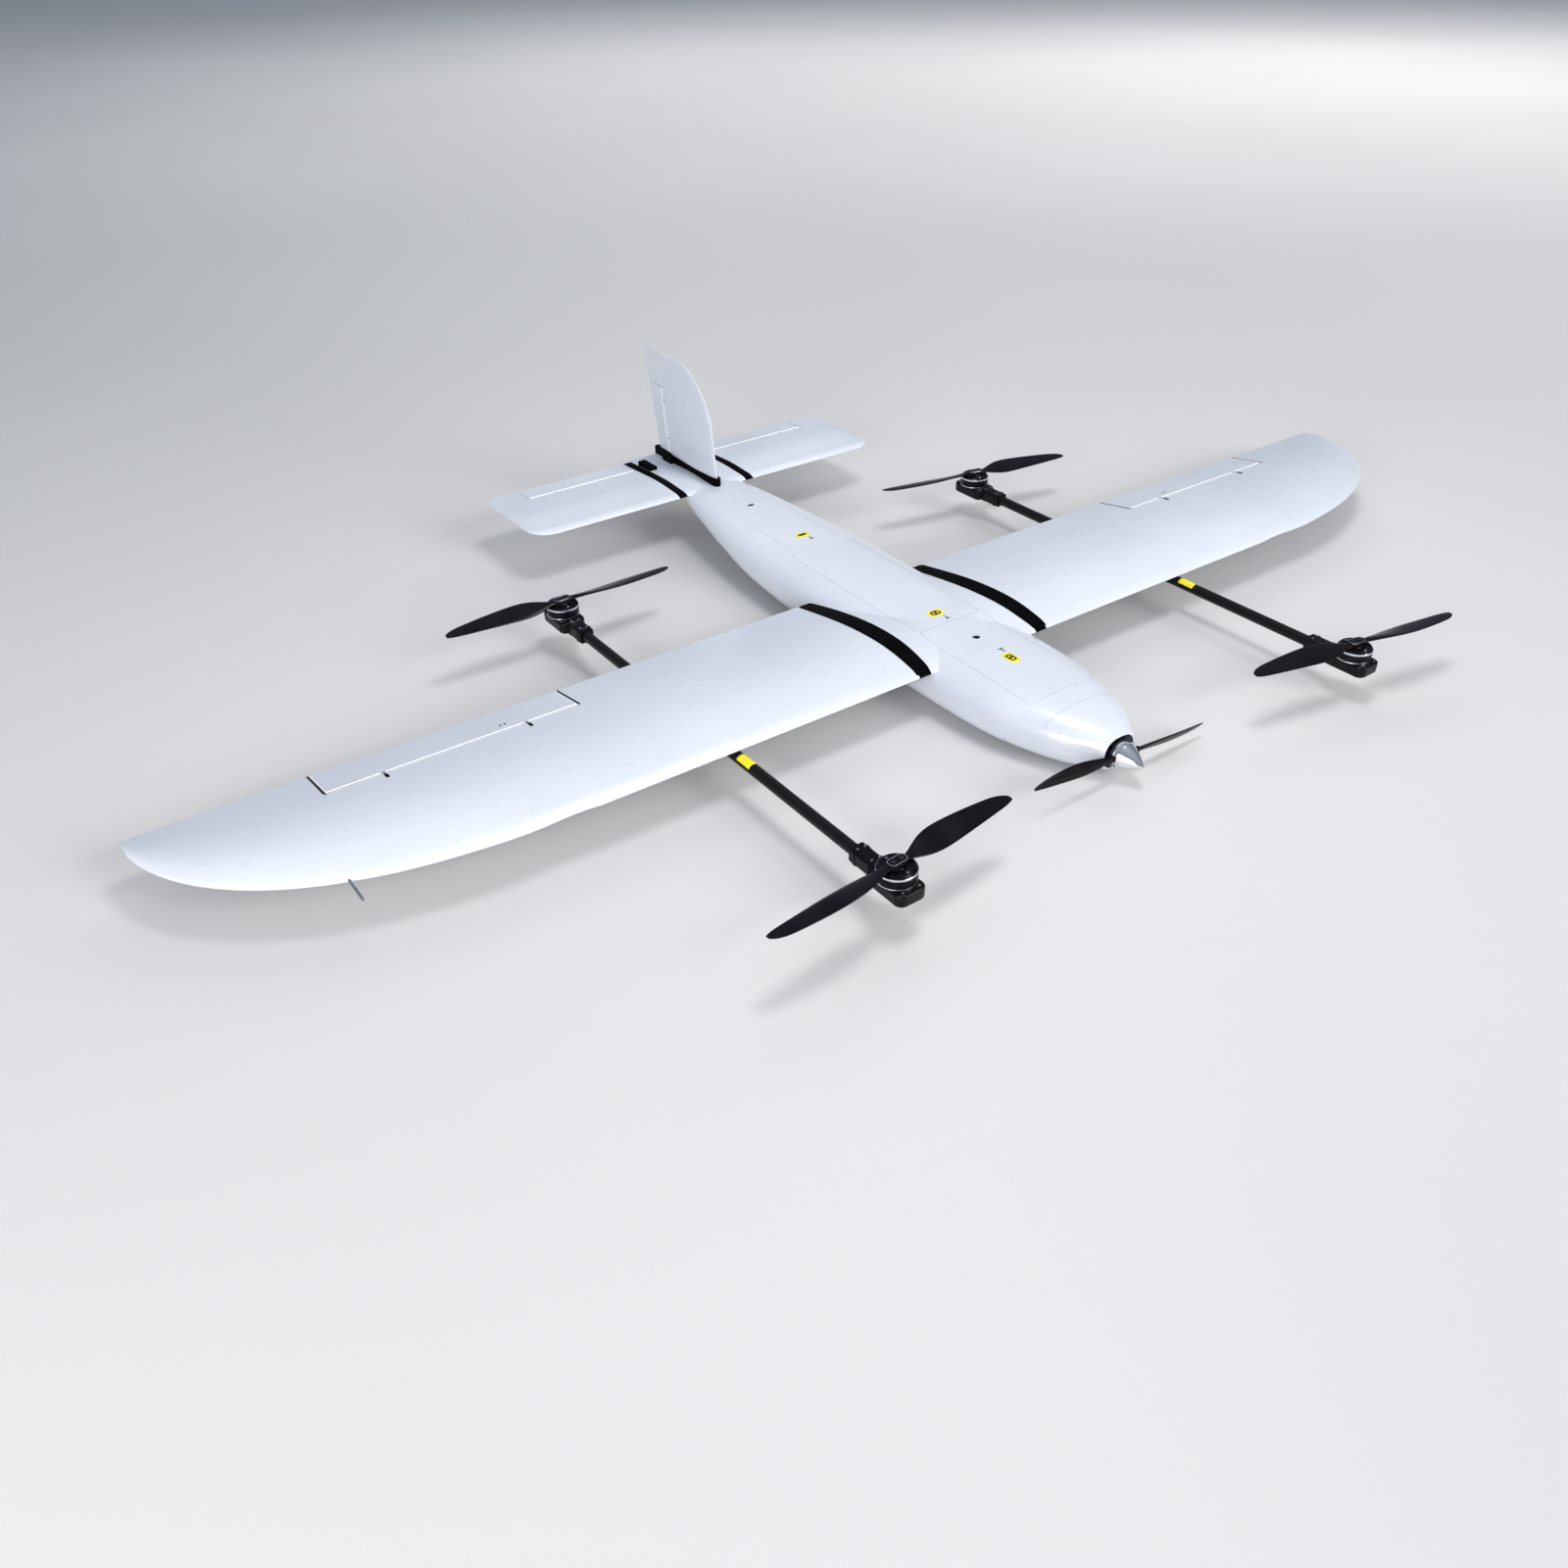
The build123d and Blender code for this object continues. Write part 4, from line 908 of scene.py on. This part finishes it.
def inside_details():
    """Battery straps and leads, and ports and screws on the electronics, under the hatches."""
    low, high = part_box("battery_pack")
    straps = bmesh.new()
    for share in (0.22, 0.74):
        y = low.y + (high.y - low.y) * share
        width = (y - 9 * MM, y + 9 * MM)
        band_round(straps, (low.x, high.x), width, (low.z, high.z), 0.9 * MM, 0.4 * MM)
    add_piece("battery_straps", straps, CASE_BLACK, "airframe")
    patch = bmesh.new()
    place = Matrix.Translation((0, (low.y + high.y) / 2 - 3 * MM, high.z))
    slab(patch, rounded_box_outline(46 * MM, 40 * MM, 3 * MM), place, 0.3 * MM, 0.1 * MM)
    add_piece("battery_patch", patch, YELLOW, "airframe")
    for k, sign in enumerate((-1, 1)):
        start = Vector((sign * 9 * MM, high.y - 1 * MM, high.z - 9 * MM))
        route = [(0, 0, 0), (0, 6, 3), (sign * 2, 14, 1), (sign * 3, 22, -8),
                 (sign * 3, 30, -17), (0, 38, -20)]
        points = [start + Vector(step) * MM for step in route]
        bead(f"battery_lead_{k}", smooth_row(points), "airframe", (SCREW_BLACK, YELLOW)[k], 1.9 * MM)

    low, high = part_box("flight_controller")
    ports = bmesh.new()
    for k in range(5):
        x = low.x + 8 * MM + k * 8 * MM
        spot = Matrix.Translation((x, high.y, (low.z + high.z) / 2 - 1 * MM))
        place = spot @ Matrix.Rotation(-pi / 2, 4, "X")
        slab(ports, rounded_box_outline(6 * MM, 5 * MM, 0.8 * MM, 3), place, 2.4 * MM, 0.4 * MM)
    add_piece("controller_ports", ports, CASE_BLACK, "airframe")
    screws = bmesh.new()
    for sx in (-1, 1):
        for sy in (-1, 1):
            x = sx * ((high.x - low.x) / 2 - 6 * MM)
            y = (low.y + high.y) / 2 + sy * ((high.y - low.y) / 2 - 6 * MM)
            cap_screw(screws, Matrix.Translation((x, y, high.z)), 1.9 * MM, 1.1 * MM)
    add_piece("controller_screws", screws, STEEL, "airframe")
    low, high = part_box("gps_receiver")
    ring = bmesh.new()
    middle = (low + high) / 2
    upright = Matrix.Translation((middle.x, middle.y, high.z))
    lathe(ring, [(10 * MM, -0.2 * MM), (14 * MM, -0.2 * MM), (13.6 * MM, 0.7 * MM),
                 (10.4 * MM, 0.7 * MM)], upright)
    add_piece("receiver_ring", ring, TURNED, "airframe")


def smooth_row(points, count=8):
    """Points on a smooth curve through the given ones."""
    row = []
    ends = [points[0], *points, points[-1]]
    for a, b, c, d in zip(ends, ends[1:], ends[2:], ends[3:]):
        for i in range(count):
            t = i / count
            row.append(0.5 * (2 * b + (c - a) * t + (2 * a - 5 * b + 4 * c - d) * t * t
                              + (3 * b - a - 3 * c + d) * t * t * t))
    return [*row, points[-1]]


def blade_pin_heads():
    """Bright pin heads at the roots of the nose blades, at the ends of the pins' own mesh."""
    pins = [v.co for v in frame["nodes"]["blade_pins"].data.vertices]
    for side, sign in SIDES.items():
        joint = JOINTS[f"nose_blade_{side}_fold"]
        axis = Vector(joint["axis"]).normalized() * sign
        centre = Vector(joint["pos_m"])
        along = [(co - centre).dot(axis) for co in pins if (co - centre).cross(axis).length < 3 * MM]
        half = max(along) - 0.4 * MM
        turn = Vector((0, 0, 1)).rotation_difference(axis).to_matrix().to_4x4()
        bm = bmesh.new()
        for way in (-1, 1):
            flip = Matrix.Rotation(0 if way > 0 else pi, 4, "X")
            place = Matrix.Translation(centre + axis * way * half) @ turn @ flip
            cap_screw(bm, place, 3.0 * MM, 1.9 * MM)
        add_piece(f"blade_pin_heads_{side}", bm, TURNED, "nose_rotor")


# ---------------------------------------------------------------- assemble
dress_frame()
for unit in UNITS:
    dress_lift_unit(unit)
    dress_nacelle(unit)
for side in SIDES:
    boom_label(side)
    horn_screws(side)
for hatch in LABELS:
    hatch_label(hatch)
blade_pin_heads()
vent_shade_insert()
inside_details()
hatch_front, hatch_back = (corner.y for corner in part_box("front_hatch"))
cross_seam("cowl_seam", hatch_front - 34 * MM, 66 * MM, nodes=("fuselage_shell",))
cross_seam("latch_seam", hatch_back - 83 * MM, 45 * MM, 0.5 * MM, ("front_hatch",), "front_hatch")
for side, sign in SIDES.items():
    painted_rudder_highlight(side, sign)
    lug_covers(side)
    rib_lip(side)
    end_gaps(side)
    painted_hinge_strips(side)


# ---------------------------------------------------------------- floor, light and camera
def make_floor():
    """Plain floor just below the part."""
    mesh = bpy.data.meshes.new("floor")
    bm = bmesh.new()
    bmesh.ops.create_grid(bm, x_segments=24, y_segments=24, size=14)
    bm.to_mesh(mesh)
    bm.free()
    floor = bpy.data.objects.new("floor", mesh)
    floor.location.z = -0.3 * MM
    bpy.context.collection.objects.link(floor)
    mesh.materials.append(floor_surface())


def make_world():
    """Soft sky that is bluer and darker near the middle of its height."""
    world = bpy.data.worlds.new("studio")
    bpy.context.scene.world = world
    world.use_nodes = True
    sky = world.node_tree
    background = sky.nodes["Background"]
    direction = sky.nodes.new("ShaderNodeTexCoord").outputs["Generated"]
    split = sky.nodes.new("ShaderNodeSeparateXYZ")
    sky.links.new(direction, split.inputs[0])
    height = sky.nodes.new("ShaderNodeValToRGB")
    sky.links.new(split.outputs["Z"], height.inputs["Fac"])
    height.color_ramp.elements[0].position = 0.0
    height.color_ramp.elements[0].color = (0.50, 0.53, 0.60, 1)
    height.color_ramp.elements[1].position = 1.0
    height.color_ramp.elements[1].color = (0.80, 0.88, 1.0, 1)
    low_band = height.color_ramp.elements.new(0.45)
    low_band.color = (0.34, 0.42, 0.56, 1)
    sky.links.new(height.outputs["Color"], background.inputs["Color"])
    background.inputs["Strength"].default_value = 0.5


make_floor()
bpy.context.scene.view_settings.view_transform = "Standard"
make_world()


def soft_light(name, place, aim, size, watts, colour=(1, 1, 1), mirrored=True):
    """Large square area light aimed at a point, seen in glossy surfaces if mirrored."""
    data = bpy.data.lights.new(name, "AREA")
    data.shape = "SQUARE"
    data.size = size
    data.energy = watts
    data.color = colour
    lamp = bpy.data.objects.new(name, data)
    lamp.location = place
    lamp.visible_glossy = mirrored
    lamp.rotation_euler = (Vector(aim) - Vector(place)).to_track_quat("-Z", "Y").to_euler()
    bpy.context.collection.objects.link(lamp)
    return lamp


soft_light("front_key", (3.4, -8.6, 4.1), (0, -0.1, 0), 4.8, 780, (1.0, 0.985, 0.955))
soft_light("side_fill", (-3.2, -1.8, 0.9), (0, 0, 0.05), 1.8, 100, (1.0, 0.975, 0.96))
soft_light("crown_light", (0.25, -0.2, 2.2), (0, -0.1, 0), 0.7, 18, (0.99, 0.985, 0.99))
soft_light("back_wash", (3.4, 5.6, 4.2), (3.0, 4.4, 0), 4.0, 135, (1.0, 0.985, 0.96), False)
soft_light("far_wash", (6.5, 2.8, 3.2), (6.0, 2.6, 0), 3.5, 140, (1.0, 0.985, 0.96), False)

LENS = 30.51
SENSOR = 36.0
CAMERA_PLACE = Vector((-1.18638, -1.46910, 0.99491))
CAMERA_AZIMUTH = radians(-35.21)
CAMERA_ELEVATION = radians(35.0)
CAMERA_ROLL = radians(-0.77)


def make_camera():
    """Camera at the photograph's viewing angle, from azimuth, elevation and roll."""
    data = bpy.data.cameras.new("camera")
    data.lens = LENS
    data.sensor_width = SENSOR
    data.clip_end = 60
    camera = bpy.data.objects.new("camera", data)
    back = Vector((
        sin(CAMERA_AZIMUTH) * cos(CAMERA_ELEVATION),
        -cos(CAMERA_AZIMUTH) * cos(CAMERA_ELEVATION),
        sin(CAMERA_ELEVATION),
    ))
    level = (-back).cross(Vector((0, 0, 1))).normalized()
    upward = level.cross(-back)
    across = cos(CAMERA_ROLL) * level + sin(CAMERA_ROLL) * upward
    over = cos(CAMERA_ROLL) * upward - sin(CAMERA_ROLL) * level
    turn = Matrix((across, over, back)).transposed().to_4x4()
    camera.matrix_world = Matrix.Translation(CAMERA_PLACE) @ turn
    bpy.context.collection.objects.link(camera)
    bpy.context.scene.camera = camera


make_camera()

bpy.context.view_layer.update()
